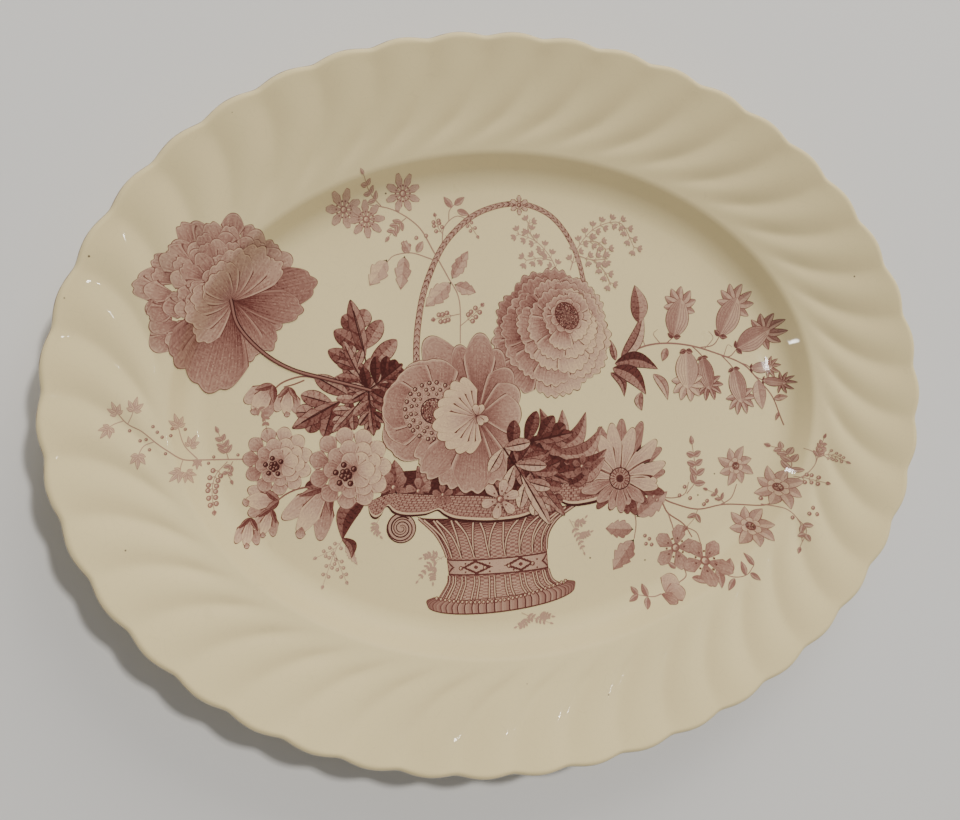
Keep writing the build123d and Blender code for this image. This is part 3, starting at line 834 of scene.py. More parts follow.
def daisy():
    """Daisy leaning up and right, its long petals in two ranks."""
    ink = Ink(0.14)
    centre = (47.0, -32.0)
    for rank, (offset, body, wide) in enumerate(((12, 0.46, 6.6), (0, 0.14, 6.9))):
        for i in range(15):
            heading = offset + 24 * i + 4 * rng.standard_normal()
            up = 0.5 + 0.5 * math.sin(math.radians(heading + 5))
            length = 13.5 + 10.0 * up + (2.0 if rank == 0 else 0) + 1.2 * rng.standard_normal()
            tone = body + (0.22 if up < 0.42 else 0.0)
            petal(ink, centre, heading, length, wide * (0.8 + 0.25 * up), rank * 3 + i % 3, tone, 0.4,
                  tone - 0.1,
                  0.9, blunt=0.42, veins=0.08, taper=1.5, line=0.8, bend=0.06 * rng.standard_normal())
    disc(ink, centre, 4.8, layer=7, tone=0.46, speckle=0.1, edge=0.95)
    for i in range(18):
        heading = 20 * i
        stem(ink, [placed(centre, heading, 2.4, 0), placed(centre, heading, 4.6, 0)], 0.35, 0.3, 8, 0.75)
    disc(ink, centre, 1.7, layer=9, tone=0.9, speckle=0.1)
    return ink


def double_rose(ink, centre, radius, seed_turn):
    """A small rose: rounded petals in three rows, pale to the right, dark specks at its heart."""
    layer = 0
    for row, (reach, count) in enumerate(((1.0, 11), (0.72, 9), (0.48, 6))):
        middle = (centre[0] + 0.06 * radius * row, centre[1] - 0.03 * radius * row)
        for i in range(count):
            heading = seed_turn + 360 * (i + 0.5 * row) / count
            size = radius * 0.46
            lit = 0.5 + 0.5 * math.cos(math.radians(heading - 20))
            body = 0.36 - 0.28 * lit
            base = placed(middle, heading, radius * reach - size, 0)
            petal(ink, base, heading, size, size * 1.1, layer + i % 3, body, 0.3, max(body - 0.12, 0.02), 0.9,
                  blunt=0.55, taper=0.6, line=0.62)
        layer += 3
    for i in range(11):
        spot = placed((centre[0] - 0.12 * radius, centre[1] - 0.16 * radius), 33 * i,
                      radius * 0.03 * (3 + 5 * (i % 2)), 0)
        berry(ink, spot, radius * 0.075, layer, 0.75, 0.95)


def double_roses():
    """The two roses at the basket's left."""
    ink = Ink(0.12)
    double_rose(ink, (-95.0, -18.5), 13.5, 10)
    double_rose(ink, (-67.0, -22.5), 16.5, 0)
    return ink


def bud(ink, base, heading, length, width):
    """A half-open bud: three overlapping petals in a dark calyx."""
    for layer, (spread, tone) in enumerate(((24, 0.32), (-22, 0.2), (0, 0.08))):
        petal(ink, base, heading + spread, length, width * 0.62, layer, tone, 0.5, max(tone - 0.1, 0.0), 0.9,
              blunt=0.5, line=0.76)
    for spread in (-38, 38):
        leaf(ink, base, heading + spread, length * 0.55, width * 0.25, 3, 0.55, 0.75, 0.75, veins=0.03)
    tip = placed(base, heading, length * 0.86, 0)
    petal(ink, tip, heading + 20, length * 0.22, width * 0.3, 3, 0.25, 0.4, 0.15, 0.5)


def rosebuds():
    """Buds on thin stems over and under the vine, and a curled dark leaf."""
    ink = Ink(0.06, 0.01)
    stem(ink, [(-76, 12), (-84, 14), (-92, 12), (-97, 8)], 0.7, 0.6, 0, 0.6)
    stem(ink, [(-84, 12.5), (-88, 11), (-92, 10)], 0.6, 0.5, 0, 0.6)
    bud(ink, (-96, 11), 232, 13, 12)
    bud(ink, (-90, 10), 262, 11, 9)
    stem(ink, [(-76, -29), (-86, -29.5), (-92, -31.5), (-97, -35)], 0.8, 0.6, 0, 0.6)
    stem(ink, [(-97, -35), (-99, -38)], 0.5, 0.5, 0, 0.6)
    bud(ink, (-95, -34), 178, 13, 12)
    bud(ink, (-98, -37), 248, 11, 8)
    bud(ink, (-106, -40), 258, 11, 8)
    bud(ink, (-76, -29), 236, 22, 14)
    leaf(ink, (-85, -29), 12, 8, 4, 6, 0.62)
    leaf(ink, (-62, -35), 240, 18, 8, 6, 0.68, bend=-0.35)
    leaf(ink, (-71, -50), 292, 9, 4, 7, 0.62, bend=0.5)
    return ink


def lobed_leaf(ink, base, heading, length, width, layer, body=0.62, curl=0.0):
    """A dark leaf of rounded lobes along a curving midrib, oak-like."""
    turn = math.radians(heading)
    spine = []
    for _ in range(9):
        spine.append(base)
        base = (base[0] + length / 9 * math.cos(turn), base[1] + length / 9 * math.sin(turn))
        turn += math.radians(curl) / 9
    for spot, reach, spread in ((1, 0.56, 66), (3, 0.66, 54), (5, 0.54, 44), (7, 0.34, 34)):
        for side in (-1, 1):
            ahead = heading + curl * spot / 9 + side * spread
            leaf(ink, spine[spot - 1], ahead, width * reach, width * 0.27, layer + (side > 0),
                 body + 0.07 * side,
                 0.95, 0.92, point=1.3, end=0.62, side=0.09)
    leaf(ink, spine[3], heading + curl * 0.6, length * 0.66, width * 0.26, layer + 2, body, 0.95, 0.92,
         point=1.15,
         end=0.65, lobes=4, depth=0.15)
    stem(ink, spine, 0.6, 0.3, layer + 3, 1.0)


def leaves_left():
    """The cluster of dark leaves where the peony's stem ends."""
    ink = Ink(0.07)
    hub = (-59.0, 8.0)
    lobed_leaf(ink, hub, 92, 36, 26, 0, 0.52, 18)
    lobed_leaf(ink, hub, 122, 22, 15, 4, 0.5, -14)
    lobed_leaf(ink, hub, 198, 33, 25, 0, 0.52, 16)
    lobed_leaf(ink, hub, 232, 22, 15, 4, 0.46, -10)
    lobed_leaf(ink, hub, 275, 18, 14, 8, 0.56)
    lobed_leaf(ink, hub, 36, 17, 17, 8, 0.74)
    stem(ink, [hub, (-52, 1), (-46, -4)], 0.8, 0.7, 0, 0.6)
    return ink


def leaves_centre():
    """Dark foliage and small flowers filling the gaps over the basket's rim."""
    ink = Ink(0.1)

    def shade_tone(a, b):
        return 0.92 + 0.05 * rng.standard_normal(a.shape)

    strip(ink, [(-56, -36), (-30, -38), (-8, -39), (18, -38), (40, -34)],
          [(-52, -25), (-34, -24), (-8, -20), (14, -12), (34, -22)], shade_tone, cell=0.8)
    for base, heading, length, width, body in (
        ((-50, -34), 128, 13, 7, 0.6), ((-48, -33), 96, 13, 7, 0.54), ((-40, -34), 60, 12, 6, 0.6),
        ((-36, -34), 110, 12, 6, 0.5), ((-20, -34), 120, 10, 6, 0.62), ((-26, -36), 30, 14, 5, 0.56),
    ):
        leaf(ink, base, heading, length, width, 1, body, 0.95, 0.9)
    blossom(ink, (-50, -31), 6.6, 5, 40, 3, 0.5)
    blossom(ink, (-40, -33), 5.6, 5, 90, 3, 0.46)
    blossom(ink, (-30, -35), 4.6, 5, 20, 3, 0.52)
    blossom(ink, (-15, -25), 5.6, 5, 60, 3, 0.54)
    blossom(ink, (-9, -29), 6.2, 5, 30, 5, 0.46)
    for base, heading, length, width, body, bend in (
        ((10, -16), 82, 15, 6, 0.56, -0.5), ((14, -17), 62, 17, 7, 0.42, -0.45),
        ((16, -18), 42, 22, 8, 0.5, -0.45),
        ((18, -20), 26, 24, 8, 0.44, -0.5), ((22, -24), 14, 20, 7, 0.58, -0.4),
        ((24, -30), 24, 18, 8, 0.5, -0.3),
        ((18, -30), 4, 16, 6, 0.62, 0.2), ((24, -34), 40, 12, 5, 0.66, -0.3),
    ):
        leaf(ink, base, heading, length, width, 6, body, 0.9, 0.85, bend=bend, side=0.12)
    lobed_leaf(ink, (0, -18), 22, 27, 22, 8, 0.66, -20)
    lobed_leaf(ink, (2, -24), -10, 24, 16, 12, 0.6, -25)
    lobed_leaf(ink, (4, -22), 302, 30, 18, 16, 0.5, 10)
    lobed_leaf(ink, (-4, -17), 304, 38, 21, 20, 0.24, -8)
    blossom(ink, (-6, -38), 8.5, 6, 75, 26, 0.18)
    blossom(ink, (30, -26), 4.6, 5, 10, 26, 0.58)
    return ink


def barrel(ink, left, right, bow, tone, layer=0, cell=0.42):
    """A woven wall between its left and right sides; its level lines bow downwards like an oval's front.

    Returns the function that gives a point on the wall from its share across and its share down.
    """
    one, two = smooth_path(left, cell), smooth_path(right, cell)
    count = max(len(one), len(two))
    one, two = (np.stack([np.interp(np.linspace(0, 1, count), np.linspace(0, 1, len(side)), side[:, k])
                          for k in (0, 1)], 1) for side in (one, two))
    columns = int(np.linalg.norm(one - two, axis=1).mean() / cell)
    across = np.linspace(0, 1, columns + 1)
    round_share = 0.5 - 0.5 * np.cos(np.pi * across)
    sag = np.linspace(bow[0], bow[1], count)[:, None] * np.sin(np.pi * across)
    x = one[:, :1] + (two[:, :1] - one[:, :1]) * round_share
    y = one[:, 1:] + (two[:, 1:] - one[:, 1:]) * round_share - sag
    a, b = np.meshgrid(across, np.linspace(0, 1, count), indexing="xy")
    ink.sheet(x, y, tone(middles(a), middles(b)), layer)

    def spot(share, down):
        row = min(int(round(down * (count - 1))), count - 1)
        return float(np.interp(share, across, x[row])), float(np.interp(share, across, y[row]))

    return spot


def weave(around, down):
    """Tone of basketwork: staggered rows of short strokes."""
    stroke = np.cos(2 * np.pi * (down + 0.5 * (np.floor(around) % 2)))
    return 0.5 + 0.16 * stroke + 0.03 * rng.standard_normal(around.shape)


def basket():
    """Wicker basket: rolled scalloped rim, ribbed waist, banded collar, beaded foot and a scroll."""
    ink = Ink(0.05)

    def sides(a):
        return 0.28 * np.abs(2 * a - 1) ** 3

    def body_tone(a, b):
        tone = weave(a * 36, b * 15) - 0.06 + sides(a) + 0.45 * np.clip((0.5 - b) / 0.5, 0, 1)
        return np.where((a < 0.012) | (a > 0.988), 0.85, tone)

    wall = barrel(ink, [(-41, -43), (-34, -50), (-30.6, -56), (-29, -61)],
                  [(30, -40), (19, -47), (14.6, -53.5), (13.8, -60.5)], (3.0, 1.4), body_tone)
    for i in range(10):
        for lean in (-1, 1):
            route = [wall((i + 0.49 - lean * 0.44 * (1 - down) ** 1.3) / 10,
                          down) for down in np.linspace(0.06, 0.97, 7)]
            stem(ink, route, 1.45, 1.1, 1, 0.16 + 0.5 * sides((i + 0.5) / 10), 0.78)

    def collar_tone(a, b):
        tone = 0.26 + 0.9 * sides(a) + 0.02 * rng.standard_normal(a.shape)
        cell = (a * 3.4 + 0.3) % 1.0 - 0.5
        ring = np.abs(np.abs(cell) * 2.0 + np.abs(b - 0.5) * 1.7 - 0.62)
        tone = np.where(ring < 0.13, 0.84, tone)
        tone = np.where(np.hypot(cell * 3.0, (b - 0.5) * 1.5) < 0.16, 0.75, tone)
        return np.where((b < 0.08) | (b > 0.92) | (a < 0.01) | (a > 0.99), 0.85, tone)

    barrel(ink, [(-29, -61), (-28.4, -67.4)], [(13.8, -60.5), (14.2, -67.5)], (1.4, 1.4), collar_tone, 1,
           cell=0.3)
    for i in range(4):
        spot = (-23.2 + 10.2 * i, -65.2 - 0.6 * math.sin(math.pi * (i + 0.4) / 4))
        berry(ink, spot, 0.95, 2, 0.3, 0.8)
        for lift in (-1.7, 1.7):
            berry(ink, (spot[0] + 1.9, spot[1] + lift), 0.4, 2, 0.8, 0.85)

    def stand_tone(a, b):
        tone = weave(a * 30, b * 8) - 0.12 + sides(a) + 0.2 * np.clip((0.25 - b) / 0.25, 0, 1)
        return np.where((a < 0.015) | (a > 0.985), 0.85, tone)

    wall = barrel(ink, [(-28.4, -67.4), (-28.8, -71), (-33, -77.5)],
                  [(14.2, -67.5), (16, -72.5), (21, -75.4)],
                  (1.4, 2.6), stand_tone, 0)
    for i in range(10):
        for offset in (-0.16, 0.16):
            route = [wall((i + 0.5 + offset) / 10, down) for down in np.linspace(0.03, 0.95, 5)]
            stem(ink, route, 1.1, 1.3, 1, 0.16 + 0.5 * sides((i + 0.5) / 10), 0.78)

    def foot_tone(a, b):
        pleat = (a * 30) % 1.0
        tone = 0.32 + 0.22 * pleat + sides(a)
        tone = np.where(pleat > 0.84, 0.82, tone)
        return np.where((b < 0.09) | (b > 0.91), 0.82, tone)

    barrel(ink, [(-34.5, -76.2), (-37.8, -77.4), (-37.4, -79.6)],
           [(22.5, -73.4), (25.8, -74.2), (25.6, -76.8)],
           (3.4, 6.4), foot_tone, 1, cell=0.36)
    for i in range(32):
        share = i / 31
        berry(ink, (-33.6 + 55.2 * share, -76.9 - 3.6 * math.sin(math.pi * share ** 0.9) + 3.2 * share ** 2),
              0.85, 2,
              0.18, 0.78)

    def rim_tone(a, b):
        row = np.floor(b * 9)
        brick = (a * 50 + 0.5 * (row % 2)) % 1.0
        tone = 0.46 + 0.12 * np.cos(2 * np.pi * b * 9) + 0.03 * rng.standard_normal(a.shape)
        tone = np.where(brick < 0.2, 0.74, tone)
        tone = np.where(b < 0.2, 0.14, tone)
        tone = np.where(b < 0.1, 0.98, tone)
        return np.where(b > 0.95, 0.9, tone)

    rim_top = [(-60.5, -36.5), (-52, -33.4), (-43, -33.8), (-28, -35.2), (-15.5, -35.8), (-4.5, -36.6),
               (14.5, -34),
               (26, -31.6), (38, -28.4), (43, -31)]
    scallops = [(-60.5, -38), (-59.6, -42), (-57.6, -43.4), (-55.4, -42), (-53.6, -39), (-52.4, -39),
                (-50.5, -41.4),
                (-46, -43), (-38, -43), (-33.4, -41.6), (-32, -41.6), (-29, -44), (-24, -46), (-11.7, -47.4),
                (1.2, -47), (9.8, -44.4), (18, -40.6), (20, -40.6), (24, -42.4), (30, -42.6), (38, -41),
                (43, -36)]
    strip(ink, scallops, rim_top, rim_tone, 3, cell=0.42, rows=22)
    turns = np.linspace(0.0, 4.4 * math.pi, 40)
    coil = [(-47.3 + (5.6 - 0.36 * t) * math.cos(t + 0.9),
             -47.6 + (5.6 - 0.36 * t) * math.sin(t + 0.9)) for t in turns]
    disc(ink, (-47.3, -47.6), 6.0, layer=1, tone=0.32, speckle=0.06, edge=0.95)
    stem(ink, coil, 2.3, 0.9, 2, 0.3, 0.92)
    return ink


def handle():
    """Plaited arch with a little flower at its top."""
    ink = Ink(0.06)
    route = [(-34, -40), (-37, -10), (-39.3, 19.5), (-37.3, 39.7), (-33, 54), (-26, 67), (-15.6, 77),
             (-5, 81.8),
             (5, 83.2), (13, 81.6), (20, 77.6), (26, 70.5), (30.5, 61), (33.4, 48), (34, 40)]
    path = smooth_path(route, 0.42)
    normal = sideways(path)
    gone = np.concatenate([[0], np.cumsum(np.linalg.norm(np.diff(path, axis=0), axis=1))])
    half = np.interp(gone / gone[-1], [0, 0.5, 1], [1.55, 1.2, 1.0])[:, None]
    across = np.array([-1.0, -0.8, -0.5, -0.2, 0.2, 0.5, 0.8, 1.0])
    x = path[:, :1] + normal[:, :1] * half * across
    y = path[:, 1:] + normal[:, 1:] * half * across
    a = ((gone[:-1] + gone[1:]) / 2)[:, None]
    b = ((across[:-1] + across[1:]) / 2)[None, :]
    plait = ((a + 1.6 * np.abs(b)) / 2.5) % 1.0
    tone = np.where(plait < 0.22, 0.82, 0.2 + 0.25 * plait)
    tone[:, [0, -1]] = 0.7
    ink.sheet(x, y, tone, 0)
    blossom(ink, (5.4, 82.6), 4.2, 6, 90, 2, 0.18)
    return ink


def bell(ink, base, heading, length, width, layer=0, body=0.32):
    """A bellflower: swollen tube with lengthwise lines and petals curling back at its mouth."""
    tip = placed(base, heading, length * 0.86, 0)
    for spread in (-104, -64, -28, 8, 44, 78, 112):
        leaf(ink, tip, heading + spread, length * 0.46, width * 0.3, layer, body + 0.02, body + 0.3, 0.78,
             side=0.12,
             veins=0.05, point=0.9, end=0.7, bend=0.14 if spread > 0 else -0.14)
    leaf(ink, base, heading, length, width * 0.84, layer + 1, body, body + 0.1, 0.82, side=0.1, veins=0.0,
         point=0.95,
         end=0.7)
    for offset in (-0.75, -0.5, -0.25, 0.25, 0.5, 0.75):
        stem(ink, [placed(base, heading, length * 0.1, offset * width * 0.18),
                   placed(base, heading, length * 0.5, offset * width * 0.42),
                   placed(base, heading, length * 0.88, offset * width * 0.2)], 0.28, 0.22, layer + 2,
             body + 0.24)
    for spread in (-70, 70):
        leaf(ink, base, heading + spread, length * 0.2, width * 0.18, layer + 2, 0.6, 0.8, 0.8)


def bellflowers():
    """Arching stem of bellflowers, with buds at its end."""
    ink = Ink(0.03, 0.01, strength=0.92)
    route = [(48, 17.5), (57, 23), (67.5, 25), (80.5, 24), (94, 20.2), (106, 15.5), (113, 9), (120.5, 0.5),
             (125, -12)]
    stem(ink, route, 0.8, 0.5, 0, 0.58)
    for twig in ([(70, 25), (73.4, 27.8)], [(86, 23), (92, 24), (95.2, 27.8)],
                 [(96, 19), (100, 19), (103.2, 22)],
                 [(82, 23.6), (86, 20), (88, 17)], [(96, 19.4), (100, 15.4), (101.5, 13.5)],
                 [(105, 16), (108, 15), (110, 13.6)], [(110, 12), (113, 9.5), (116, 8.2)]):
        stem(ink, twig, 0.5, 0.4, 0, 0.58)
    for curl in ([(67, 25), (64, 29), (66, 31)], [(88, 22.5), (92, 27), (90, 30)],
                 [(60, 24), (58, 29), (55, 28)],
                 [(97, 19.2), (99, 24), (101, 23)]):
        stem(ink, curl, 0.4, 0.2, 0, 0.5)
    bell(ink, (73.4, 27.5), 77, 17, 13, 1)
    bell(ink, (95.2, 27.8), 62, 19, 13, 1)
    bell(ink, (103.2, 22.3), 28, 18, 12, 1, 0.38)
    bell(ink, (86.5, 19), 284, 15, 9, 1, 0.42)
    bell(ink, (79, 22), 272, 17, 13, 4, 0.2)
    bell(ink, (101.5, 13.8), 284, 16, 10, 1)
    bell(ink, (109.8, 13.6), 2, 11, 6, 1, 0.28)
    bell(ink, (115.6, 8.2), -8, 11, 5, 1, 0.36)
    leaf(ink, (113, 8.2), 280, 13, 6.5, 1, 0.26, 0.5, 0.6, veins=0.08)
    leaf(ink, (121, 0), 8, 6, 3, 1, 0.34, 0.6, 0.6)
    leaf(ink, (123, -6), 250, 4, 1.6, 1, 0.4, 0.6, 0.6)
    leaf(ink, (70, 23), 250, 6, 3.5, 1, 0.42, 0.6, 0.65)
    return ink


def lance_leaves():
    """Narrow leaves on the right of the ranunculus, twisted at their tips."""
    ink = Ink(0.08)
    leaf(ink, (49, 18.5), 62, 22, 6.5, 0, 0.36, 0.9, 0.9, bend=-0.2, veins=0.12, side=0.16)
    leaf(ink, (57.5, 34), 96, 16, 8, 1, 0.44, 0.9, 0.9, bend=-0.12, veins=0.12, side=0.14)
    leaf(ink, (46.4, 18), 104, 9, 3.2, 0, 0.44, 0.8, 0.9)
    leaf(ink, (46, 16.8), -8, 20, 7, 1, 0.64, 1.0, 0.95, bend=0.28, side=0.16)
    leaf(ink, (63.5, 12), 300, 13, 4.6, 2, 0.26, 0.6, 0.85, bend=0.24, veins=0.1)
    leaf(ink, (45, 15), 322, 19, 7.4, 2, 0.58, 1.0, 0.95, bend=0.3, side=0.16)
    leaf(ink, (57.6, 4.4), 272, 8, 4.2, 3, 0.36, 0.7, 0.9, bend=-0.3)
    leaf(ink, (44, 13), 300, 12, 4.2, 1, 0.56, 0.9, 0.95, bend=0.4)
    return ink


def cup_blossom(ink, centre, radius, layer=0, turn=10.0):
    """A blossom of curling pointed petals round a pale frilled cup."""
    for i in range(8):
        heading = turn + 45 * i
        leaf(ink, placed(centre, heading, radius * 0.15, 0), heading, radius * (0.78 + 0.12 * (i % 2)),
             radius * 0.46,
             layer + i % 2, 0.3, 0.5, 0.74, veins=0.06, side=0.1, point=0.85, bend=0.16)
    for i in range(6):
        petal(ink, centre, turn + 60 * i + 20, radius * 0.42, radius * 0.36, layer + 2, 0.14, 0.4, 0.04, 0.6,
              line=0.7)
    disc(ink, centre, radius * 0.2, layer=layer + 3, tone=0.75, speckle=0.3, edge=0.85)


def star_blossoms():
    """Spray to the right: cup blossoms, leaf sprigs, tendrils and berries."""
    ink = Ink(0.03, 0.012, strength=0.84)
    stem(ink, [(60, -36), (66, -41), (72, -44), (83, -47), (96, -45.6), (112, -46.6), (118, -44)], 0.7, 0.5,
         0, 0.6)
    stem(ink, [(93, -46), (99, -43), (102, -37)], 0.5, 0.4, 0, 0.55)
    stem(ink, [(112, -46), (120, -48), (125, -54), (125, -62)], 0.5, 0.3, 0, 0.5)
    stem(ink, [(120, -36), (126, -35), (131, -32), (134, -28), (133.5, -24), (130, -22)], 0.45, 0.3, 0, 0.45)
    stem(ink, [(66, -41), (72, -41.5), (77, -40), (79, -35)], 0.5, 0.35, 0, 0.55)
    cup_blossom(ink, (101.6, -29), 9.0, 2, 20)
    cup_blossom(ink, (119.3, -38.8), 9.2, 2, 60)
    cup_blossom(ink, (106, -55.2), 9.0, 2, 5)
    sprig(ink, [(78, -40), (82.5, -34), (81.8, -25), (81, -19)], 5.2, 2.8, 4, 1, 0.44, width=0.45)
    sprig(ink, [(122, -35), (125.5, -29), (124, -23), (119, -21)], 4.6, 2.4, 4, 1, 0.4, width=0.4)
    sprig(ink, [(134, -28), (136, -23), (138, -18)], 3.2, 1.6, 4, 1, 0.4, width=0.35)
    sprig(ink, [(135, -26), (140, -25), (146, -28)], 3.0, 1.4, 5, 1, 0.38, width=0.3, berries=True)
    sprig(ink, [(125, -34), (130, -35), (137, -37)], 2.8, 2.0, 3, 1, 0.48, width=0.3, berries=True)
    sprig(ink, [(124, -52), (127, -57), (124, -64)], 4.0, 2.2, 2, 1, 0.42, width=0.35)
    sprig(ink, [(96, -45.5), (92, -41), (88, -39)], 3.4, 1.6, 2, 1, 0.46, width=0.35)
    sprig(ink, [(83, -47), (81, -51), (78, -54)], 4.4, 2.2, 1, 1, 0.5, width=0.35)
    for spot in ((74.5, -40.6), (77, -37), (79.5, -42), (62.5, -40.5), (64, -42), (86, -45), (87.5, -43.6),
                 (112.5, -43.6),
                 (122, -51.5), (129, -50), (131, -47.6), (132.5, -50.4)):
        berry(ink, spot, 0.9, 1, 0.45, 0.68)
    return ink


def blossoms_lower_right():
    """Two open blossoms with buds and small oak-like leaves."""
    ink = Ink(0.03, 0.01, strength=0.86)
    stem(ink, [(60, -37), (66, -43), (69, -48), (76, -53), (80, -59)], 0.8, 0.5, 0, 0.6)
    stem(ink, [(69, -48), (71, -54), (72, -58)], 0.6, 0.45, 0, 0.55)
    stem(ink, [(76, -54), (82, -57), (84, -62)], 0.5, 0.4, 0, 0.55)
    stem(ink, [(52.5, -43), (54, -51), (53, -58)], 0.6, 0.4, 0, 0.5)
    stem(ink, [(88, -70), (92, -75), (99, -75), (103, -71)], 0.5, 0.3, 0, 0.5)
    stem(ink, [(75, -70), (76, -75), (72, -78)], 0.5, 0.4, 0, 0.5)
    stem(ink, [(64, -82), (60, -83), (54, -82)], 0.5, 0.3, 0, 0.45)
    for base, heading, length, width in (((54, -49), 35, 17, 9.5), ((53, -54), 175, 12, 8.5),
                                         ((53, -58), 232, 15, 9.5),
                                         ((53, -46), 60, 6, 4.5)):
        leaf(ink, base, heading, length, width, 1, 0.42, 0.62, 0.66, lobes=4, depth=0.3, veins=0.08)
    blossom(ink, (72, -63), 10.2, 5, 75, 2, 0.4)
    blossom(ink, (85, -69.3), 10.0, 5, 50, 5, 0.42)
    petal(ink, (66, -82), 60, 9, 9, 3, 0.2, 0.3, 0.1, 1.0)
    petal(ink, (65, -83), 20, 9, 7, 4, 0.3, 0.3, 0.2, 0.8)
    petal(ink, (64, -82), 330, 6, 5, 5, 0.45, 0.3, 0.3, 0.6)
    for base, heading, length, width in (((92, -74), 65, 6.5, 3.2), ((99, -75), 100, 6, 2.6),
                                         ((103, -71), 120, 6, 2.4),
                                         ((101, -74), 320, 5, 2.4), ((94, -76), 235, 6, 2.6),
                                         ((89, -72), 262, 8, 3.2),
                                         ((78, -76), 350, 7, 3.0), ((58, -83), 110, 6, 2.8),
                                         ((58, -83), 250, 5, 2.6),
                                         ((54, -82), 130, 5, 2.4), ((54, -82), 210, 5, 2.4),
                                         ((72, -72), 140, 5, 2.2)):
        leaf(ink, base, heading, length, width, 1, 0.42, 0.64, 0.62, veins=0.06)
    for spot in ((58, -57), (60, -58.5), (58.4, -60.5), (61, -61)):
        berry(ink, spot, 0.85, 1, 0.45, 0.66)
    return ink


def sprig_top_left():
    """Three daisy-like blossoms and paired ivy leaves over the basket's left."""
    ink = Ink(0.02, 0.012, strength=0.72)
    stem(ink, [(-31, 63), (-37, 73), (-47, 79.5), (-58, 81.5)], 0.6, 0.4, 0, 0.5)
    stem(ink, [(-45, 78.5), (-44, 82), (-43.5, 85)], 0.4, 0.35, 0, 0.5)
    stem(ink, [(-31.7, 60), (-40, 62.5), (-47, 61.5), (-50, 59)], 0.5, 0.35, 0, 0.5)
    blossom(ink, (-67, 79), 7.4, 7, 80, 2, 0.36)
    blossom(ink, (-58, 75.6), 7.6, 8, 95, 5, 0.38)
    blossom(ink, (-43.2, 86), 7.4, 8, 70, 2, 0.36)
    sprig(ink, [(-52, 81), (-57, 86), (-60, 91)], 3.4, 1.8, 3, 1, 0.4)
    sprig(ink, [(-42, 76.5), (-46, 73), (-49, 69)], 3.6, 1.9, 3, 1, 0.4)
    leaf(ink, (-50, 60), 235, 12, 8, 1, 0.16, 0.45, 0.58, lobes=3, depth=0.3)
    leaf(ink, (-43, 61.5), 262, 13, 7, 1, 0.36, 0.55, 0.6, lobes=3, depth=0.3)
    for spot in ((-36.5, 66), (-34, 69.5), (-38, 68.6), (-41, 65.5), (-43.5, 66.2)):
        berry(ink, spot, 0.85, 1, 0.4, 0.62)
    for base, heading in (((-43, 62.5), 80), ((-38, 62.8), 60), ((-41, 62.8), 118)):
        leaf(ink, base, heading, 5.2, 3.0, 1, 0.36, 0.6, 0.6)
    return ink


def sprigs_handle():
    """Twigs, serrated leaves and berry clusters that cross the handle."""
    ink = Ink(0.02, strength=0.78)
    stem(ink, [(-31, 63), (-25.5, 53), (-21, 43.5), (-21, 26)], 0.55, 0.4, 0, 0.5)
    stem(ink, [(-27.5, 66), (-26.5, 73), (-21, 77.6), (-14.5, 75)], 0.45, 0.3, 0, 0.48)
    stem(ink, [(-24.5, 75.5), (-24, 80), (-20, 84)], 0.4, 0.3, 0, 0.48)
    leaf(ink, (-24, 52), 58, 13, 6, 1, 0.38, 0.58, 0.62, lobes=4, depth=0.25)
    leaf(ink, (-23, 50), 340, 9, 6, 1, 0.34, 0.55, 0.62, lobes=3, depth=0.25)
    leaf(ink, (-24, 51), 222, 14, 8, 2, 0.26, 0.5, 0.6, lobes=4, depth=0.25)
    for base, heading in (((-22, 82), 38), ((-23, 81), 128), ((-21, 80), 340)):
        leaf(ink, base, heading, 5.5, 2.8, 1, 0.4, 0.6, 0.6)
    sprig(ink, [(-27, 70), (-29, 73), (-30, 77)], 2.4, 1.9, 3, 1, 0.46, berries=True)
    sprig(ink, [(-18, 77), (-15, 73), (-13, 70)], 2.2, 1.7, 2, 1, 0.44, berries=True)
    sprig(ink, [(-21, 38), (-26, 37), (-31, 36)], 2.6, 2.3, 3, 1, 0.48, berries=True, start=0.35)
    sprig(ink, [(-21, 33), (-16, 37), (-12, 41)], 2.6, 2.3, 3, 1, 0.46, berries=True, start=0.35)
    return ink


def fern():
    """Feathery sprays behind the ranunculus, left and right of the handle."""
    ink = Ink(0.02, strength=0.72)
    for route in ([(22, 54), (18, 62), (12, 68), (4, 71)], [(19, 60), (14, 61), (8, 60)],
                  [(12, 68), (9, 73), (10, 77)],
                  [(27, 56), (31, 66), (39, 74), (50, 76), (56, 66)], [(31, 62), (37, 60.5), (44, 61)],
                  [(37, 60.5), (42, 56), (45, 50)], [(33, 68), (39, 68), (43, 65)]):
        stem(ink, route, 0.4, 0.25, 0, 0.42)
        path = smooth_path(route, 1.0)
        normal = sideways(path)
        for i in range(3, len(path), 4):
            ahead = math.degrees(math.atan2(-normal[i, 0], normal[i, 1]))
            for side in (-1, 1):
                heading = ahead + side * 48
                tip = placed(path[i], heading, 2.6, 0)
                stem(ink, [tuple(path[i]), tip], 0.25, 0.2, 0, 0.4)
                for spread in (-40, 0, 40):
                    leaf(ink, placed(path[i], heading, 1.7, 0), heading + spread, 2.3, 1.1, 1, 0.24, 0.44,
                         0.5,
                         veins=0.03, side=0.06, end=0.65)
    return ink


def ivy_leaf(ink, tip_of_stem, heading, size):
    """A small five-pointed leaf drawn in outline."""
    for spread, share in ((0, 1.0), (38, 0.8), (-38, 0.8), (78, 0.5), (-78, 0.5)):
        leaf(ink, tip_of_stem, heading + spread, size * share * 0.9, size * 0.3, 1, 0.14, 0.49, 0.59,
             veins=0.05, side=0.08)


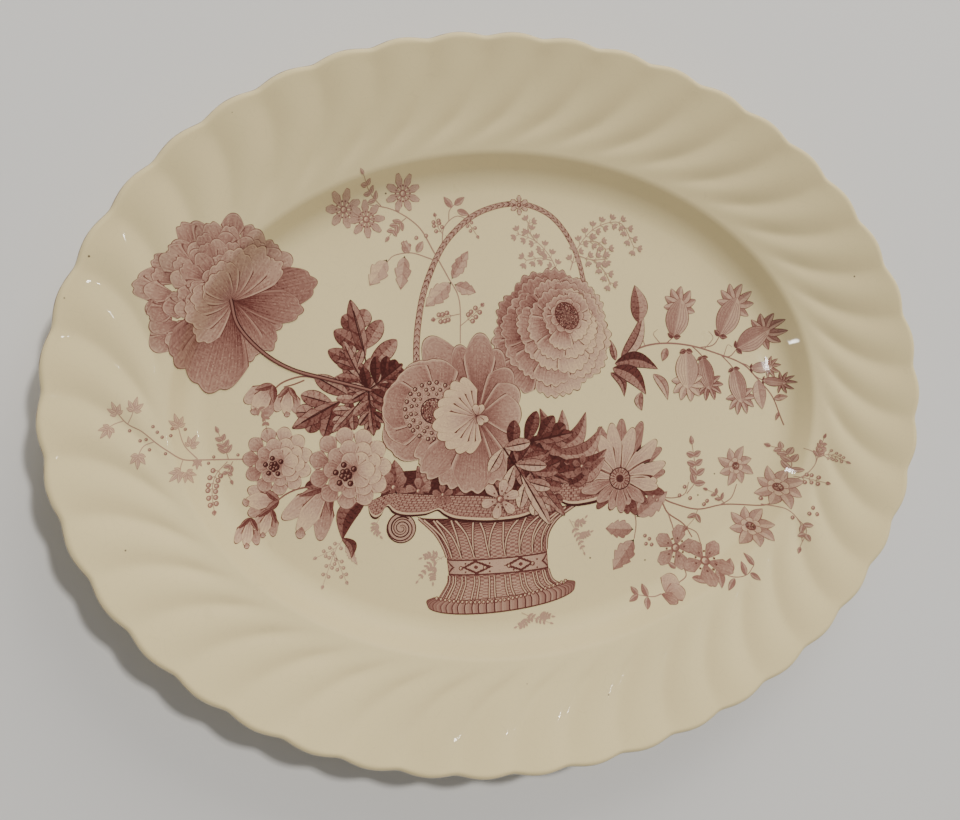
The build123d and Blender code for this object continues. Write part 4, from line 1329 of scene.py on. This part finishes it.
def vine():
    """Trailing vine that runs left from the roses, over the shoulder and on to the rim."""
    ink = Ink(0.02, 0.012, strength=0.72)
    stem(ink, [(-107, -17.4), (-114, -17.2), (-124, -16.9), (-130, -16.2), (-135, -12.8), (-139, -9.6),
               (-144, -5),
               (-148.6, -2.2), (-152, 2)], 0.55, 0.35, 0, 0.5)
    stem(ink, [(-125, -16.5), (-129.5, -11), (-131.5, -4)], 0.45, 0.3, 0, 0.46)
    stem(ink, [(-140, -9), (-143.5, -10.5), (-145.5, -14)], 0.4, 0.3, 0, 0.46)
    stem(ink, [(-148.6, -2.2), (-147, 1), (-146.4, 3)], 0.35, 0.3, 0, 0.46)
    stem(ink, [(-150, -1), (-153, -2), (-155, -3.4)], 0.35, 0.3, 0, 0.46)
    stem(ink, [(-130, -16), (-131, -19), (-131, -21)], 0.35, 0.3, 0, 0.46)
    for tip, heading, size in (((-152, 1.5), 110, 5.5), ((-146.4, 2.5), 75, 6), ((-154.5, -3.2), 230, 5.5),
                               ((-145.3, -13.5), 265, 6), ((-131.3, -4), 105, 6), ((-127.5, -11.5), 60, 5.5),
                               ((-131, -20.5), 220, 6), ((-129, -21), 300, 5.5), ((-125, -17), 265, 4)):
        ivy_leaf(ink, tip, heading, size)
    sprig(ink, [(-113.6, -17.2), (-115, -12), (-117, -7)], 3.8, 1.9, 3, 1, 0.44)
    sprig(ink, [(-114, -18), (-118.5, -23), (-120, -29), (-119.5, -36)], 2.6, 2.2, 6, 1, 0.5, berries=True)
    sprig(ink, [(-112, -18), (-114, -22), (-113, -25)], 2.8, 1.6, 2, 1, 0.46)
    sprig(ink, [(-104, 3), (-100, 0), (-99, -6)], 2.6, 1.2, 4, 1, 0.4)
    for spot in ((-110, -15.6), (-119, -16), (-121, -18.3), (-136, -13.5), (-142.5, -8), (-144.6, -8.4),
                 (-141.5, -11.8),
                 (-133.5, -4.5), (-134, -7), (-129, -5), (-138.6, -5.5), (-140, -3.4), (-137, -7.4),
                 (-148, -4.6)):
        berry(ink, spot, 0.62, 1, 0.5, 0.7)
    return ink


def sprigs_lower():
    """Faint sprigs round the basket's foot."""
    ink = Ink(0.02, 0.01, strength=0.68)
    for route in ([(-70, -50), (-74, -54), (-81, -57)], [(-73, -53), (-76, -60), (-79, -68)],
                  [(-74, -56), (-72, -62), (-70, -67)]):
        sprig(ink, route, 2.4, 1.7, 3, 0, 0.4, 0.38, berries=True, width=0.3)
    leaf(ink, (-70, -53), 300, 9, 3.4, 1, 0.26, 0.4, 0.44, lobes=6, depth=0.5)
    for route in ([(-30, -60), (-36, -63), (-41, -69)], [(-31, -61), (-35, -59), (-39, -60)],
                  [(-33, -62), (-35, -66), (-35, -70)],
                  [(24, -48), (27, -54), (30, -62)], [(25, -49), (29, -50), (31, -48)],
                  [(27, -54), (30, -55), (33, -54)],
                  [(2, -85.5), (7, -88), (14, -90.5)], [(5, -87), (3, -90), (0, -91)],
                  [(8, -88.5), (12, -87.5), (15, -88)],
                  [(-56, -43), (-58, -47), (-56, -50)]):
        sprig(ink, route, 2.3, 1.0, 5, 0, 0.24, 0.4, 0.3, width=0.26)
    return ink


MOTIFS = {
    "print_sprigs_lower": (sprigs_lower, "ink_pale"),
    "print_vine_left": (vine, "ink_pale"),
    "print_fern_top_right": (fern, "ink_pale"),
    "print_sprigs_handle": (sprigs_handle, "ink_pale"),
    "print_sprig_top_left": (sprig_top_left, "ink_pale"),
    "print_blossoms_lower_right": (blossoms_lower_right, "ink"),
    "print_star_blossoms_right": (star_blossoms, "ink"),
    "print_lance_leaves_right": (lance_leaves, "ink_dark"),
    "print_bellflowers_right": (bellflowers, "ink"),
    "print_rosebuds_left": (rosebuds, "ink"),
    "print_leaves_left": (leaves_left, "ink_dark"),
    "print_basket_handle": (handle, "ink"),
    "print_basket": (basket, "ink_dark"),
    "print_leaves_centre": (leaves_centre, "ink_dark"),
    "print_peony_left": (peony, "ink"),
    "print_double_roses_left": (double_roses, "ink"),
    "print_daisy_right": (daisy, "ink"),
    "print_ranunculus": (ranunculus, "ink"),
    "print_poppy_centre": (poppy, "ink"),
}


# ---------------------------------------------------------------- stage

def make_floor():
    """Plain pale tabletop."""
    material, tree, shader, add = new_material("pale_floor")
    place = add("ShaderNodeTexCoord")
    pale, _ = clouded(
        tree, add, place, {"Scale": 3.0, "Detail": 3.0}, srgb(223, 222, 220), srgb(229, 228, 226),
    )
    tree.links.new(pale, shader.inputs["Base Color"])
    shader.inputs["Roughness"].default_value = 0.7
    bpy.ops.mesh.primitive_plane_add(size=6.0, location=(0, 0, cad_box[0][2] - 0.0002))
    floor = bpy.context.object
    floor.name = "floor"
    floor.data.materials.append(material)


def area_light(name, place, target, size, power, colour=(1, 1, 1), size_y=None, glints=True):
    """Rectangular lamp that faces a point; without glints it isn't mirrored in the glaze."""
    lamp = bpy.data.lights.new(name, "AREA")
    lamp.shape = "RECTANGLE"
    lamp.size = size
    lamp.size_y = size_y or size
    lamp.energy = power
    lamp.color = colour
    lamp_object = bpy.data.objects.new(name, lamp)
    lamp_object.location = place
    lamp_object.rotation_euler = (Vector(target) - Vector(place)).to_track_quat("-Z", "Y").to_euler()
    lamp_object.visible_glossy = glints
    bpy.context.collection.objects.link(lamp_object)


def make_lights():
    """Soft window light from the upper right, a weaker fill and a pale surround."""
    world = bpy.data.worlds.new("surround")
    world.use_nodes = True
    world.node_tree.nodes["Background"].inputs["Color"].default_value = (1.0, 0.99, 0.97, 1)
    world.node_tree.nodes["Background"].inputs["Strength"].default_value = 0.24
    bpy.context.scene.world = world
    area_light("window", (0.75, 1.15, 2.9), (0, 0, 0), 0.24, 66.0, (1.0, 0.97, 0.92), glints=False)
    area_light("sky", (0.9, 2.3, 1.3), (0, 0, 0), 1.7, 47.0, (1.0, 0.98, 0.95), glints=False)
    panes = ((0.786, 0.048, 1.123), (-0.351, 0.803, 0.868), (-0.89, 0.631, 0.469), (-0.95, -0.535, 0.484))
    for number, place in enumerate(panes):
        area_light(f"pane_{number}", place, (0.12, 0, 0), 0.03, 0.16, (1.0, 0.98, 0.94), size_y=0.016)


def make_camera():
    """Camera over the platter's left, tipped towards its middle."""
    data = bpy.data.cameras.new("camera")
    data.lens = 37.5
    data.sensor_width = 36.0
    data.clip_start = 0.01
    camera = bpy.data.objects.new("camera", data)
    roll, tip, lean = math.radians(1.47), math.radians(1.01), math.radians(14.70)
    turn = Matrix.Rotation(roll, 3, "Z") @ Matrix.Rotation(tip, 3, "X") @ Matrix.Rotation(lean, 3, "Y")
    camera.matrix_world = Matrix.Translation(Vector((-0.1171, 0.0060, 0.4025))) @ turn.transposed().to_4x4()
    bpy.context.collection.objects.link(camera)
    bpy.context.scene.camera = camera


# ---------------------------------------------------------------- build

glaze = make_glaze()
inks = [make_ink(index) for index in range(TONES)]
# Lip-edge material: brown wear and stain mixed with painted shade.
lip_wear_and_shade = make_lip_wear_and_shade()
for part in (make_front(glaze, lip_wear_and_shade), make_back(glaze, lip_wear_and_shade), make_foot(make_bare_clay()),
             make_recess(glaze)):
    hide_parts("platter_body")
    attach(part, "root")
for node, (draw, slot) in MOTIFS.items():
    draw().press(node.replace("print_", "ink_"), inks, node, slot)
make_floor()
make_lights()
make_camera()
